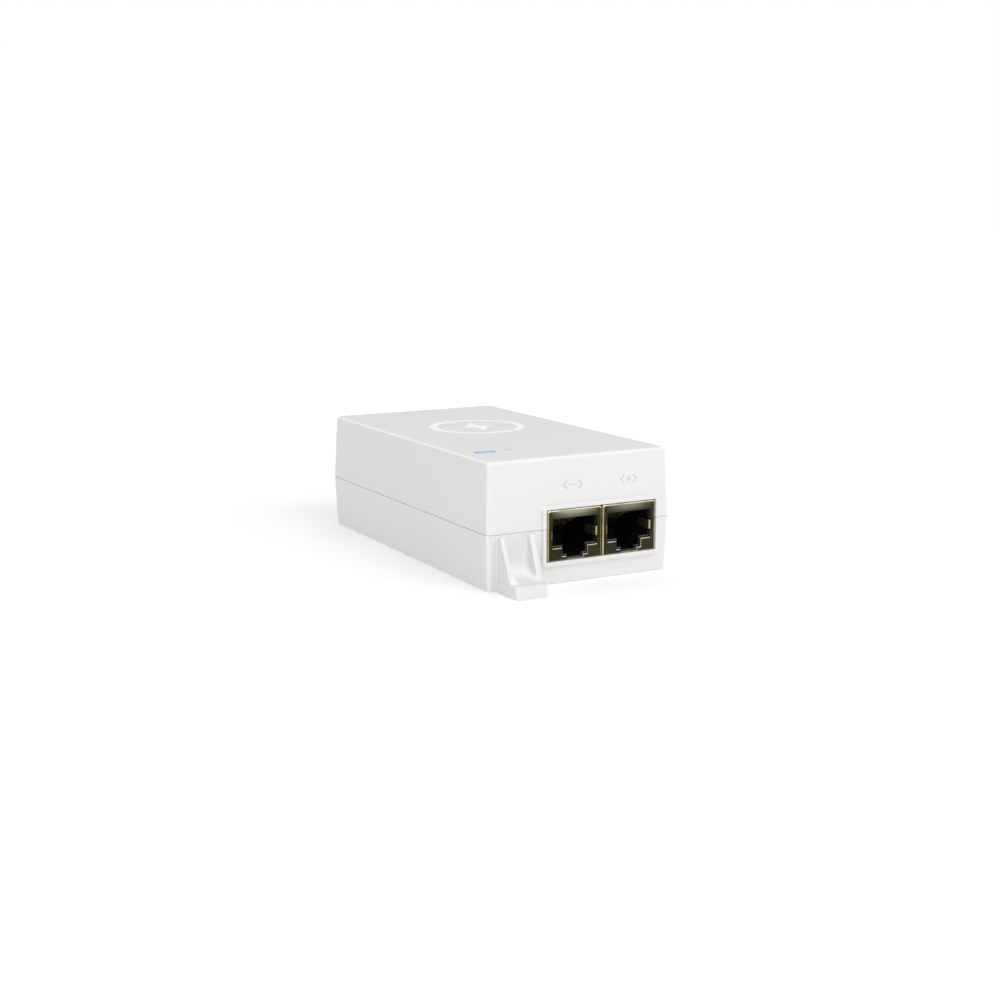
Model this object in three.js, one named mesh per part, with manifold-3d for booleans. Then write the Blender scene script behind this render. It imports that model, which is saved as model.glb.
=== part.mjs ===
// Power-over-Ethernet injector: a two-shell plastic power brick with two shielded
// modular jacks at the front, a mains inlet at the rear and a fixing ear on two
// diagonal corners. Millimetres, +Z up. The origin is the middle of the base,
// -Y is the port side and +X is to the right when the ports are faced.

import * as THREE from 'three';
import * as BufferGeometryUtils from 'three/addons/utils/BufferGeometryUtils.js';
import Module from 'manifold-3d';

const wasm = await Module();
wasm.setup();

// ---------------------------------------------------------------- dimensions

const W = 53.2;            // case width at the parting line
const L = 95.8;            // case length at the parting line, without the ears
const H = 32.0;            // case height
const SEAM = 14.1;         // height of the parting line
const SEAM_GAP = 0.24;     // visible groove between the two shells
const DRAFT_TOP = 0.73;    // how far each wall leans in from the parting line to the top
const DRAFT_BOTTOM = 0.53; // the same, from the parting line to the base
const WALL = 2.0;
const R_CORNER = 1.4;      // vertical corners
const R_TOP = 1.2;         // rim of the roof
const LIP = 0.75;          // thickness of the locating lip inside the parting line
const LIP_H = 1.3;

// fixing ear, front left; the rear right one is its half-turn copy
const EAR_X0 = -23.75, EAR_X1 = -14.6;
const EAR_Y = -57.75;      // outer face of the ear pad
const EAR_PAD = 3.15;      // pad height
const EAR_FOOT = -54.2;    // where the ribs meet the pad
const EAR_R = 2.0;
const RIB = 1.25;
const RIB_INNER = 1.5;     // the rib nearer the jacks is thicker
const RIB_TOP = -49.1;     // how far the ribs stand out just under the parting line

// two modular jacks
const JACK_PITCH = 16.0;
const JACK_X = 6.0;        // middle of the pair
const JACK_W = 15.8;
const JACK_Z0 = 5.95, JACK_Z1 = 18.75;
const JACK_FACE = -48.25;
const JACK_DEPTH = 18.0;
const SHEET = 0.35;        // shield sheet
const CUT_HALF = 6.37;     // half width of the opening in the shield
const CUT_Z0 = 9.15, CUT_Z1 = 16.43;
const NOTCH1_HALF = 3.65, NOTCH1_Z = 6.95;
const NOTCH2_HALF = 2.4, NOTCH2_Z = 6.2;
const PLUG_HALF = 6.1;     // half width of the plug space in the insert
const PLUG_Z0 = 9.65, PLUG_Z1 = 16.35;
const CONTACT_PITCH = 1.016;
const CONTACT_W = 0.46;
const CONTACT_T = 0.3;
const BEND = [-45.0, 16.5];            // y, z of the bend the contact wires flex about
const TAB_Z0 = 11.25, TAB_Z1 = 13.6;   // grounding tabs

const BEZEL_RIM = 1.15;    // raised frame round the jacks
const BEZEL_FACE = -48.42;
const BEZEL_GAP = 0.15;
const BEZEL_R = 1.5;

// mains inlet, after the common three-pin appliance inlet
const INLET_X = -4.0, INLET_Z = 16.6;
const INLET_W = 26.8, INLET_H = 19.4;
const INLET_FACE = 48.3;
const INLET_BACK = 28.5;
const SOCKET_W = 24.4, SOCKET_H = 16.4, SOCKET_CUT = 4.6, SOCKET_DEPTH = 17.0;
const BLADE_T = 2.0, BLADE_H = 4.0, BLADE_PITCH = 14.0, EARTH_UP = 4.0;

// circuit board
const BOARD_Z0 = 4.1, BOARD_Z1 = 5.7;
const BOARD_X = 23.2, BOARD_Y0 = -45.0, BOARD_Y1 = 41.2;
const ON_BOARD = BOARD_Z1 + 0.15;

// case screws, driven up from the base
const SCREWS = [[-21.4, -41.6], [21.0, -25.2], [-21.6, 38.0], [21.6, 38.0]];
const BOSS_R = 3.4;

// indicator
const LED_X = -19.0, LED_Y = -32.6, LED_W = 6.0, LED_D = 2.3;

// ------------------------------------------------------------------ helpers

function toSolid(geometry) {
  const g = geometry.clone();
  g.deleteAttribute('normal');
  g.deleteAttribute('uv');
  const merged = BufferGeometryUtils.mergeVertices(g, 1e-4);
  return new wasm.Manifold(new wasm.Mesh({
    numProp: 3,
    vertProperties: new Float32Array(merged.attributes.position.array),
    triVerts: new Uint32Array(merged.index.array),
  }));
}

function toGeometry(solid) {
  const m = solid.getMesh();
  const g = new THREE.BufferGeometry();
  const n = m.vertProperties.length / m.numProp;
  const p = new Float32Array(n * 3);
  for (let i = 0; i < n; i += 1) {
    for (let j = 0; j < 3; j += 1) p[i * 3 + j] = m.vertProperties[i * m.numProp + j];
  }
  g.setAttribute('position', new THREE.BufferAttribute(p, 3));
  g.setIndex(new THREE.BufferAttribute(new Uint32Array(m.triVerts), 1));
  g.computeVertexNormals();
  return g;
}

// each of these gives a three.js geometry in place
function box(x0, x1, y0, y1, z0, z1) {
  const g = new THREE.BoxGeometry(x1 - x0, y1 - y0, z1 - z0);
  g.translate((x0 + x1) / 2, (y0 + y1) / 2, (z0 + z1) / 2);
  return g;
}

function rod(x, y, r, z0, z1, sides = 20) {
  const g = new THREE.CylinderGeometry(r, r, z1 - z0, sides);
  g.rotateX(Math.PI / 2);
  g.translate(x, y, (z0 + z1) / 2);
  return g;
}

function lathe(x, y, profile, sides = 20) {
  const g = new THREE.LatheGeometry(profile.map(([r, z]) => new THREE.Vector2(r, z)), sides);
  g.rotateX(Math.PI / 2);
  g.translate(x, y, 0);
  return g;
}

function roundedRect(x0, x1, y0, y1, r) {
  const s = new THREE.Shape();
  s.moveTo(x0 + r, y0);
  s.lineTo(x1 - r, y0);
  s.absarc(x1 - r, y0 + r, r, -Math.PI / 2, 0, false);
  s.lineTo(x1, y1 - r);
  s.absarc(x1 - r, y1 - r, r, 0, Math.PI / 2, false);
  s.lineTo(x0 + r, y1);
  s.absarc(x0 + r, y1 - r, r, Math.PI / 2, Math.PI, false);
  s.lineTo(x0, y0 + r);
  s.absarc(x0 + r, y0 + r, r, Math.PI, Math.PI * 1.5, false);
  return s;
}

function polygon(points) {
  const s = new THREE.Shape();
  s.moveTo(...points[0]);
  points.slice(1).forEach((p) => s.lineTo(...p));
  return s;
}

// outline in XY, raised along Z
function raise(shape, z0, z1, segments = 4) {
  const g = new THREE.ExtrudeGeometry(shape, { depth: z1 - z0, bevelEnabled: false, curveSegments: segments });
  g.translate(0, 0, z0);
  return g;
}

// outline in XZ, swept along Y from y0 to y1
function sweepY(shape, y0, y1, segments = 4) {
  const g = new THREE.ExtrudeGeometry(shape, { depth: y1 - y0, bevelEnabled: false, curveSegments: segments });
  g.rotateX(Math.PI / 2);
  g.translate(0, y1, 0);
  return g;
}

// outline in YZ, swept along X from x0 to x1
function sweepX(shape, x0, x1) {
  const g = new THREE.ExtrudeGeometry(shape, { depth: x1 - x0, bevelEnabled: false });
  g.applyMatrix4(new THREE.Matrix4().set(0, 0, 1, x0, 1, 0, 0, 0, 0, 1, 0, 0, 0, 0, 0, 1));
  return g;
}

// a bar of even thickness along a polyline, as an outline
function strip(points, t) {
  const left = [];
  const right = [];
  points.forEach((p, i) => {
    const a = points[Math.max(0, i - 1)];
    const b = points[Math.min(points.length - 1, i + 1)];
    const d = new THREE.Vector2(b[0] - a[0], b[1] - a[1]).normalize();
    left.push([p[0] - d.y * t / 2, p[1] + d.x * t / 2]);
    right.push([p[0] + d.y * t / 2, p[1] - d.x * t / 2]);
  });
  return polygon([...right, ...left.reverse()]);
}

// leans every vertical wall in by amount(z)
function lean(geometry, amount) {
  const p = geometry.attributes.position;
  for (let i = 0; i < p.count; i += 1) {
    const k = amount(p.getZ(i));
    p.setX(i, p.getX(i) - Math.sign(p.getX(i)) * k);
    p.setY(i, p.getY(i) - Math.sign(p.getY(i)) * k);
  }
  return geometry;
}

const join = (...gs) => gs.map((g) => (g instanceof THREE.BufferGeometry ? toSolid(g) : g)).reduce((a, b) => a.add(b));
const cut = (a, ...gs) => gs.map((g) => (g instanceof THREE.BufferGeometry ? toSolid(g) : g))
  .reduce((s, b) => s.subtract(b), a instanceof THREE.BufferGeometry ? toSolid(a) : a);
const keep = (a, b) => (a instanceof THREE.BufferGeometry ? toSolid(a) : a).intersect(toSolid(b));
const halfTurn = (g) => g.clone().rotateZ(Math.PI);

// ---------------------------------------------------------------- materials

const mat = (color, roughness, metalness = 0) => new THREE.MeshStandardMaterial({ color, roughness, metalness });
const M = {
  shell: mat(0xe9e9e7, 0.55),
  metal: mat(0x8c8a6c, 0.35, 1),
  insert: mat(0x101213, 0.45),
  gold: mat(0xd2a84b, 0.28, 1),
  brass: mat(0xb99a52, 0.35, 1),
  clear: mat(0x5fb7e8, 0.2),
  led: mat(0xe6eef5, 0.3),
  steel: mat(0x9fa3a6, 0.35, 1),
  board: mat(0x1f5b3a, 0.5),
  sheet: mat(0xd9d6c8, 0.6),
  inlet: mat(0x17181a, 0.5),
  tin: mat(0xb9bdc0, 0.3, 1),
  ferrite: mat(0x3b3d40, 0.7),
  tape: mat(0xd8b13a, 0.45),
  copper: mat(0xb06a36, 0.35, 1),
  sleeve: mat(0x1d2b4c, 0.4),
  film: mat(0xc9a23a, 0.5),
  disc: mat(0x2f66a8, 0.5),
  epoxy: mat(0x1b1c1e, 0.55),
  alu: mat(0xa9adb1, 0.4, 1),
  ntc: mat(0x2b5b33, 0.55),
};

const assembly = new THREE.Group();
const shells = new THREE.Group();
const jacks = new THREE.Group();
const inlet = new THREE.Group();
const electronics = new THREE.Group();
const fasteners = new THREE.Group();
assembly.add(shells, jacks, inlet, electronics, fasteners);

function add(parent, name, shape, material) {
  const geometry = shape instanceof THREE.BufferGeometry ? shape : toGeometry(shape);
  const m = new THREE.Mesh(geometry, material);
  m.name = name;
  parent.add(m);
  return m;
}

// ------------------------------------------------------------------- shells

const draftTop = (z) => (z > SEAM ? DRAFT_TOP * (z - SEAM) / (H - SEAM) : 0);
const draftBottom = (z) => (z < SEAM ? DRAFT_BOTTOM * (SEAM - z) / SEAM : 0);
const BIG = 200;

function block(inset, z0, z1, r) {
  return raise(roundedRect(-W / 2 + inset, W / 2 - inset, -L / 2 + inset, L / 2 - inset, Math.max(0.4, r)), z0, z1);
}

// the frame round the jacks, and the hole they stand in
const frameX0 = JACK_X - JACK_PITCH - BEZEL_GAP, frameX1 = JACK_X + JACK_PITCH + BEZEL_GAP;
const frameZ0 = JACK_Z0 - BEZEL_GAP - 0.02, frameZ1 = JACK_Z1 + BEZEL_GAP;
const bezel = sweepY(roundedRect(frameX0 - BEZEL_RIM, frameX1 + BEZEL_RIM, frameZ0 - BEZEL_RIM, frameZ1 + BEZEL_RIM, BEZEL_R), BEZEL_FACE, -47.0);
const jackHole = box(frameX0, frameX1, -60, -40, frameZ0, frameZ1);

const inletHole = box(INLET_X - INLET_W / 2 - 0.15, INLET_X + INLET_W / 2 + 0.15, 40, 60, INLET_Z - INLET_H / 2 - 0.15, INLET_Z + INLET_H / 2 + 0.15);

// roof shell: rounded rim, open below
const roof = new THREE.ExtrudeGeometry(roundedRect(-W / 2 + R_TOP, W / 2 - R_TOP, -L / 2 + R_TOP, L / 2 - R_TOP, Math.max(0.25, R_CORNER - R_TOP)), {
  depth: H - SEAM - R_TOP, bevelEnabled: true, bevelThickness: R_TOP, bevelSize: R_TOP, bevelSegments: 4, curveSegments: 4,
});
roof.translate(0, 0, SEAM);
lean(roof, draftTop);

let cover = cut(roof,
  box(-BIG, BIG, -BIG, BIG, -10, SEAM + SEAM_GAP / 2),
  lean(block(WALL, SEAM, H - WALL, 0.5), draftTop),
  block(WALL - LIP - 0.3, 0, SEAM + LIP_H + 0.25, 0.6));
cover = join(cover, keep(bezel, box(-BIG, BIG, -BIG, BIG, SEAM + SEAM_GAP / 2, H)));
// posts for the case screws, and the rib that holds the inlet flange
SCREWS.forEach(([x, y]) => {
  cover = join(cover, rod(x, y, 2.9, 13.3, H - WALL + 0.4));
});
cover = join(cover, box(INLET_X - 14, INLET_X + 14, 41.75, 42.9, 26.75, H - WALL + 0.4));
cover = cut(cover, jackHole, inletHole,
  raise(roundedRect(LED_X - LED_W / 2, LED_X + LED_W / 2, LED_Y - LED_D / 2, LED_Y + LED_D / 2, 0.6), 26, 40),
  ...SCREWS.map(([x, y]) => rod(x, y, 1.45, 10, 25, 12)));
add(shells, 'top_cover', cover, M.shell);

// base shell: floor, walls, locating lip, ears, bosses
let base = cut(lean(block(0, 0, SEAM - SEAM_GAP / 2, R_CORNER), draftBottom),
  lean(block(WALL, WALL, SEAM, 0.5), draftBottom));
const lip = cut(block(WALL - LIP, SEAM - 1.5, SEAM + LIP_H, 0.6), block(WALL, 0, 40, 0.5));
base = join(base, lip, keep(bezel, box(-BIG, BIG, -BIG, BIG, 0, SEAM - SEAM_GAP / 2)));

const pad = raise(roundedRect(EAR_X0, EAR_X1, EAR_Y, -46.6 + EAR_R, EAR_R), 0, EAR_PAD, 5);
const padKeep = box(-BIG, BIG, -BIG, -46.6, -1, 50);
const ribOutline = [[-46.6, 1], [EAR_FOOT, 1], [EAR_FOOT, EAR_PAD - 0.02], [RIB_TOP, SEAM - 0.35], [-46.6, SEAM - 0.35]];
const ears = [keep(pad, padKeep), sweepX(polygon(ribOutline), EAR_X0, EAR_X0 + RIB), sweepX(polygon(ribOutline), EAR_X1 - RIB_INNER, EAR_X1)]
  .map((g) => (g instanceof THREE.BufferGeometry ? toSolid(g) : g)).reduce((a, b) => a.add(b));
const earGeometry = toGeometry(ears);
base = join(base, ears, halfTurn(earGeometry));

SCREWS.forEach(([x, y]) => {
  base = join(base, rod(x, y, BOSS_R, 1, 13.0));
});
// board rests
[[-22.6, -20], [22.6, -8], [-22.6, 10], [22.6, 22]].forEach(([x, y]) => {
  base = join(base, box(x - 1.6, x + 1.6, y - 4, y + 4, 1, BOARD_Z0 - 0.2));
});
base = join(base, box(INLET_X - 14, INLET_X + 14, 41.75, 42.9, 1, 6.5));
base = cut(base, jackHole, inletHole,
  ...SCREWS.flatMap(([x, y]) => [rod(x, y, 2.75, -1, 5.4, 16), rod(x, y, 1.55, 0, 20, 12)]));
add(shells, 'bottom_case', base, M.shell);

// indicator: emitter on the board and the clear bar that carries its light to the roof
add(shells, 'light_pipe', join(
  raise(roundedRect(LED_X - LED_W / 2 + 0.15, LED_X + LED_W / 2 - 0.15, LED_Y - LED_D / 2 + 0.15, LED_Y + LED_D / 2 - 0.15, 0.5), 8.0, H - 0.06),
  box(LED_X - 4.2, LED_X + 3.9, LED_Y - 2.1, LED_Y + 2.1, 28.4, 29.6)), M.clear);
add(electronics, 'status_led', join(box(LED_X - 1.75, LED_X + 1.75, LED_Y - 1.4, LED_Y + 1.4, ON_BOARD, ON_BOARD + 1.0),
  rod(LED_X, LED_Y, 1.15, ON_BOARD + 0.9, ON_BOARD + 1.6, 14)), M.led);

// -------------------------------------------------------------------- jacks

function jack(name, xc) {
  const x0 = xc - JACK_W / 2, x1 = xc + JACK_W / 2;
  const back = JACK_FACE + JACK_DEPTH;

  // folded sheet shield: open below, stepped opening in front
  let shield = cut(box(x0, x1, JACK_FACE, back, JACK_Z0, JACK_Z1),
    box(x0 + SHEET, x1 - SHEET, JACK_FACE + SHEET, back - SHEET, JACK_Z0 - 1, JACK_Z1 - SHEET),
    box(xc - CUT_HALF, xc + CUT_HALF, JACK_FACE - 1, JACK_FACE + 1, CUT_Z0, CUT_Z1),
    box(xc - NOTCH1_HALF, xc + NOTCH1_HALF, JACK_FACE - 1, JACK_FACE + 1, NOTCH1_Z, CUT_Z0 + 0.5),
    box(xc - NOTCH2_HALF, xc + NOTCH2_HALF, JACK_FACE - 1, JACK_FACE + 1, NOTCH2_Z, NOTCH1_Z + 0.5),
    box(xc - CUT_HALF - 0.42, xc + CUT_HALF + 0.42, JACK_FACE - 1, JACK_FACE + 1, TAB_Z0 - 0.22, TAB_Z1 + 0.22));
  add(jacks, `${name}_shield`, shield, M.metal);

  // moulded insert with the plug space
  const f = JACK_FACE + SHEET + 0.15, r = back - SHEET - 0.15;
  const housing = cut(box(x0 + SHEET + 0.15, x1 - SHEET - 0.15, f, r, JACK_Z0 + 0.05, JACK_Z1 - SHEET - 0.15),
    box(xc - PLUG_HALF, xc + PLUG_HALF, f - 1, r + 1, PLUG_Z0, PLUG_Z1),
    box(xc - PLUG_HALF, xc + PLUG_HALF, f + 1.4, r + 1, PLUG_Z1 - 1, 17.85),
    box(xc - 3.25, xc + 3.25, f - 1, -36.0, 7.4, PLUG_Z0 + 0.5),
    box(xc - 2.05, xc + 2.05, f - 1, -36.0, 6.5, 8),
    box(xc - 8, xc + 8, f - 1, -43.2, TAB_Z0 - 0.25, TAB_Z1 + 0.25));
  add(jacks, `${name}_housing`, housing, M.insert);

  // insert that carries the fixed ends of the contact wires
  add(jacks, `${name}_contact_carrier`, join(
    box(xc - PLUG_HALF + 0.2, xc + PLUG_HALF - 0.2, -45.6, -31.2, 17.0, 17.65),
    box(xc - PLUG_HALF + 0.2, xc + PLUG_HALF - 0.2, -34.3, -31.2, PLUG_Z0 + 0.2, 17.3)), M.insert);

  // eight sprung contact wires
  for (let i = 0; i < 8; i += 1) {
    const x = xc + (3.5 - i) * CONTACT_PITCH;
    const wire = strip([[BEND[0] - 0.35, BEND[1] + 0.05], BEND, [-43.2, 15.62], [-36.4, 12.25], [-35.5, 12.25]], CONTACT_T);
    add(jacks, `${name}_contact_${i + 1}`, sweepX(wire, x - CONTACT_W / 2, x + CONTACT_W / 2), M.gold);
  }

  // grounding tabs that press on the plug's screen
  for (const side of [-1, 1]) {
    const points = [[xc + side * 6.6, -48.1], [xc + side * 6.3, -47.7], [xc + side * 5.7, -43.9], [xc + side * 5.85, -43.5]];
    const tab = raise(strip(side < 0 ? points : points.map((p) => p), 0.2), TAB_Z0, TAB_Z1);
    add(jacks, `${name}_ground_tab_${side < 0 ? 'left' : 'right'}`, tab, M.brass);
  }
}
jack('lan', JACK_X - JACK_PITCH / 2);
jack('poe', JACK_X + JACK_PITCH / 2);

// -------------------------------------------------------------- mains inlet

const socket = polygon([
  [-SOCKET_W / 2, -SOCKET_H / 2], [SOCKET_W / 2, -SOCKET_H / 2],
  [SOCKET_W / 2, SOCKET_H / 2 - SOCKET_CUT], [SOCKET_W / 2 - SOCKET_CUT, SOCKET_H / 2],
  [-SOCKET_W / 2 + SOCKET_CUT, SOCKET_H / 2], [-SOCKET_W / 2, SOCKET_H / 2 - SOCKET_CUT],
]);
const socketSolid = sweepY(socket, INLET_FACE - SOCKET_DEPTH, INLET_FACE + 2);
socketSolid.translate(INLET_X, 0, INLET_Z);
const blades = [['line', -BLADE_PITCH / 2, -EARTH_UP / 2], ['neutral', BLADE_PITCH / 2, -EARTH_UP / 2], ['earth', 0, EARTH_UP / 2]];
const body = cut(join(
  box(INLET_X - INLET_W / 2, INLET_X + INLET_W / 2, INLET_BACK, INLET_FACE, INLET_Z - INLET_H / 2, INLET_Z + INLET_H / 2),
  box(INLET_X - 15.3, INLET_X + 15.3, 43.2, 45.0, INLET_Z - 11.3, INLET_Z + 11.3)),
socketSolid,
...blades.map(([, dx, dz]) => box(INLET_X + dx - BLADE_T / 2 - 0.12, INLET_X + dx + BLADE_T / 2 + 0.12, 20, 35, INLET_Z + dz - BLADE_H / 2 - 0.12, INLET_Z + dz + BLADE_H / 2 + 0.12)));
add(inlet, 'ac_inlet_housing', body, M.inlet);
blades.forEach(([name, dx, dz]) => {
  const x = INLET_X + dx, z = INLET_Z + dz, tip = INLET_FACE - 3.6;
  const blade = sweepX(polygon([[25.4, z - BLADE_H / 2], [tip - 1, z - BLADE_H / 2], [tip, z - BLADE_H / 2 + 0.9], [tip, z + BLADE_H / 2 - 0.9],
    [tip - 1, z + BLADE_H / 2], [25.4, z + BLADE_H / 2]]), x - BLADE_T / 2, x + BLADE_T / 2);
  add(inlet, `ac_pin_${name}`, join(blade, box(x - BLADE_T / 2, x + BLADE_T / 2, 25.4, 26.6, ON_BOARD, z)), M.tin);
});

// -------------------------------------------------------------- electronics

// room round the bosses; three of them stand in a corner, so the board's corner goes with them
const clearBosses = (r) => [
  ...SCREWS.map(([x, y]) => rod(x, y, r, 0, 20, 16)),
  ...[SCREWS[0], SCREWS[2], SCREWS[3]].map(([x, y]) => box(x < 0 ? -60 : x, x < 0 ? x : 60, y < 0 ? -60 : y, y < 0 ? y : 60, 0, 20)),
];
add(electronics, 'main_board', cut(box(-BOARD_X, BOARD_X, BOARD_Y0, BOARD_Y1, BOARD_Z0, BOARD_Z1), ...clearBosses(BOSS_R + 0.4)), M.board);
add(electronics, 'insulation_sheet', cut(box(-20.6, 20.6, -44.4, 41.2, 2.4, 2.7), ...clearBosses(BOSS_R + 0.6)), M.sheet);

// mains side
add(electronics, 'input_fuse', lathe(14.0, 35.4, [[0, ON_BOARD], [4.1, ON_BOARD], [4.1, ON_BOARD + 7.0], [3.5, ON_BOARD + 7.7], [0, ON_BOARD + 7.7]]), M.epoxy);
const ntc = new THREE.CylinderGeometry(4.6, 4.6, 3.6, 18);
ntc.translate(14.6, 27.4, ON_BOARD + 5.2);
add(electronics, 'inrush_thermistor', ntc, M.ntc);
add(electronics, 'x_capacitor', box(-21.0, -3.2, 15.4, 23.2, ON_BOARD, ON_BOARD + 14.2), M.film);
// choke: two windings side by side on one ring core
const chokeCore = cut(box(0.6, 17.4, 15.6, 20.4, ON_BOARD + 1.0, ON_BOARD + 15.4), box(3.9, 14.1, 10, 30, ON_BOARD + 4.3, ON_BOARD + 12.1));
add(electronics, 'choke_core', chokeCore, M.ferrite);
const chokeWire = (x) => cut(box(x - 3.1, x + 3.1, 13.6, 22.4, ON_BOARD + 4.7, ON_BOARD + 11.7), box(x - 1.65 - 0.3, x + 1.65 + 0.3, 15.3, 20.7, 0, 40));
add(electronics, 'choke_winding_1', chokeWire(2.25), M.copper);
add(electronics, 'choke_winding_2', chokeWire(15.75), M.copper);
add(electronics, 'bridge_rectifier', raise(polygon([[-22.4, 9.2], [-9.2, 9.2], [-8.2, 10.2], [-8.2, 12.8], [-22.4, 12.8]]), ON_BOARD, ON_BOARD + 11.2), M.epoxy);
const yDisc = new THREE.CylinderGeometry(3.9, 3.9, 3.0, 18);
yDisc.translate(-2.6, 11.0, ON_BOARD + 4.6);
add(electronics, 'y_capacitor', yDisc, M.disc);
add(electronics, 'bulk_capacitor', lathe(-13.4, -0.8, [[0, ON_BOARD], [7.7, ON_BOARD], [8.0, ON_BOARD + 0.4], [8.0, ON_BOARD + 1.6], [7.6, ON_BOARD + 2.1],
  [8.0, ON_BOARD + 2.6], [8.0, ON_BOARD + 21.4], [7.5, ON_BOARD + 22.0], [0, ON_BOARD + 22.0]], 24), M.sleeve);
add(electronics, 'primary_heatsink', join(box(19.9, 21.5, -9.0, 11.4, ON_BOARD, ON_BOARD + 20.0), box(17.2, 20.5, 9.9, 11.4, ON_BOARD, ON_BOARD + 20.0),
  box(17.2, 20.5, -9.0, -7.5, ON_BOARD + 3.0, ON_BOARD + 20.0)), M.alu);
add(electronics, 'switching_transistor', join(box(15.2, 19.6, -3.8, 6.4, ON_BOARD + 4.5, ON_BOARD + 13.5), box(18.3, 19.6, -3.8, 6.4, ON_BOARD + 13.2, ON_BOARD + 19.0)), M.epoxy);

// isolating transformer: ferrite E cores round a taped winding
const tx = 5.0, ty = -3.2;
add(electronics, 'transformer_core', join(
  cut(box(tx - 9.4, tx + 9.4, ty - 3.6, ty + 3.6, ON_BOARD + 1.6, ON_BOARD + 20.4), box(tx - 6.2, tx + 6.2, ty - 9, ty + 9, ON_BOARD + 4.8, ON_BOARD + 17.2)),
  box(tx - 2.3, tx + 2.3, ty - 3.6, ty + 3.6, ON_BOARD + 3.0, ON_BOARD + 19.0)), M.ferrite);
const windingHole = roundedRect(tx - 2.6, tx + 2.6, ty - 3.9, ty + 3.9, 0.4);
const winding = roundedRect(tx - 5.9, tx + 5.9, ty - 8.6, ty + 8.6, 3.0);
winding.holes.push(windingHole);
add(electronics, 'transformer_winding', raise(winding, ON_BOARD + 5.1, ON_BOARD + 16.9, 4), M.tape);
add(electronics, 'pwm_controller', box(15.4, 19.2, -15.6, -10.8, ON_BOARD, ON_BOARD + 1.6), M.epoxy);
add(electronics, 'optocoupler', box(-4.0, 0.6, -16.4, -13.2, ON_BOARD, ON_BOARD + 3.6), M.epoxy);

// low-voltage side
const smallCan = (x, y) => lathe(x, y, [[0, ON_BOARD], [4.8, ON_BOARD], [5.0, ON_BOARD + 0.3], [5.0, ON_BOARD + 1.4], [4.7, ON_BOARD + 1.8],
  [5.0, ON_BOARD + 2.2], [5.0, ON_BOARD + 15.6], [4.6, ON_BOARD + 16.0], [0, ON_BOARD + 16.0]], 18);
add(electronics, 'output_capacitor_1', smallCan(-17.2, -14.6), M.sleeve);
add(electronics, 'output_capacitor_2', smallCan(-17.2, -25.4), M.sleeve);
add(electronics, 'secondary_heatsink', join(box(14.2, 15.6, -29.0, -18.0, ON_BOARD, ON_BOARD + 15.0), box(10.4, 14.4, -19.4, -18.0, ON_BOARD + 2.0, ON_BOARD + 15.0)), M.alu);
add(electronics, 'output_rectifier', join(box(9.6, 13.9, -29.2, -19.8, ON_BOARD + 3.4, ON_BOARD + 11.6), box(12.7, 13.9, -29.2, -19.8, ON_BOARD + 11.3, ON_BOARD + 14.6)), M.epoxy);
add(electronics, 'lan_magnetics', raise(roundedRect(-8.4, 8.2, -28.8, -18.2, 0.5), ON_BOARD, ON_BOARD + 6.0, 2), M.epoxy);

// ----------------------------------------------------------------- screws

SCREWS.forEach(([x, y], i) => {
  const screw = lathe(x, y, [[0, 4.2], [0.9, 4.2], [0.9, 3.5], [2.0, 3.5], [2.4, 3.9], [2.4, 5.1], [1.2, 5.1], [1.2, 20.4], [0, 21.6]], 14);
  add(fasteners, `case_screw_${i + 1}`, screw, M.steel);
});

export default assembly;
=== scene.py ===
"""Looks of the PoE injector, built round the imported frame. Lengths inside the shape code are millimetres."""

import math

import bmesh
import bpy
import numpy as np
from mathutils import Matrix, Vector


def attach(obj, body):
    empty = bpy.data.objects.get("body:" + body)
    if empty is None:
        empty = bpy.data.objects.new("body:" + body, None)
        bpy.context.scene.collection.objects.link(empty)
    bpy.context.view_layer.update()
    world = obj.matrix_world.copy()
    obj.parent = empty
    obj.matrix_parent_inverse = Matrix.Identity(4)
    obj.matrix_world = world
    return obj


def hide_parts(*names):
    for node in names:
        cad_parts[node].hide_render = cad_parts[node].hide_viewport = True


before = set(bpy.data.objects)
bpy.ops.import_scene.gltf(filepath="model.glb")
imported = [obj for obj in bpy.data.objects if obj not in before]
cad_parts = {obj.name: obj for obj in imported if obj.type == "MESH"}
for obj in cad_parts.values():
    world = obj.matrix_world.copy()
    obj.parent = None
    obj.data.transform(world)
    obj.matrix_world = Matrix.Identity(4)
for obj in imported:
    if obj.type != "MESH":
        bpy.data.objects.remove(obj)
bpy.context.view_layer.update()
scene = bpy.context.scene
MM = 0.001
BODY = "case_body"

# ------------------------------------------------------------------ dimensions, as in the CAD source

W, L, H = 53.2, 95.8, 32.0
SEAM = 14.1
DRAFT_TOP, DRAFT_BOTTOM = 0.73, 0.53
LIP, LIP_H = 0.75, 1.3
WALL = 2.0
R_CORNER, R_TOP = 1.4, 1.2
EAR_X0, EAR_X1, EAR_Y, EAR_PAD, EAR_FOOT, EAR_R = -23.75, -14.6, -57.75, 3.15, -54.2, 2.0
RIB, RIB_INNER, RIB_TOP = 1.25, 1.5, -49.1
JACKS = (("lan", -2.0), ("poe", 14.0))
JACK_W, JACK_Z0, JACK_Z1, JACK_FACE, JACK_DEPTH, SHEET = 15.8, 5.95, 18.75, -48.25, 18.0, 0.35
CUT_HALF, CUT_Z0, CUT_Z1 = 6.37, 9.15, 16.43
NOTCH1_HALF, NOTCH1_Z, NOTCH2_HALF, NOTCH2_Z = 3.65, 6.95, 2.4, 6.2
TAB_Z0, TAB_Z1 = 11.25, 13.6
FRAME_X0, FRAME_X1, FRAME_Z0, FRAME_Z1 = -10.15, 22.15, 5.78, 18.9
BEZEL_RIM, BEZEL_FACE, BEZEL_R = 1.15, -48.42, 1.5
INLET_X, INLET_Z, INLET_W, INLET_H, INLET_FACE, INLET_BACK = -4.0, 16.6, 26.8, 19.4, 48.3, 28.5
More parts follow.
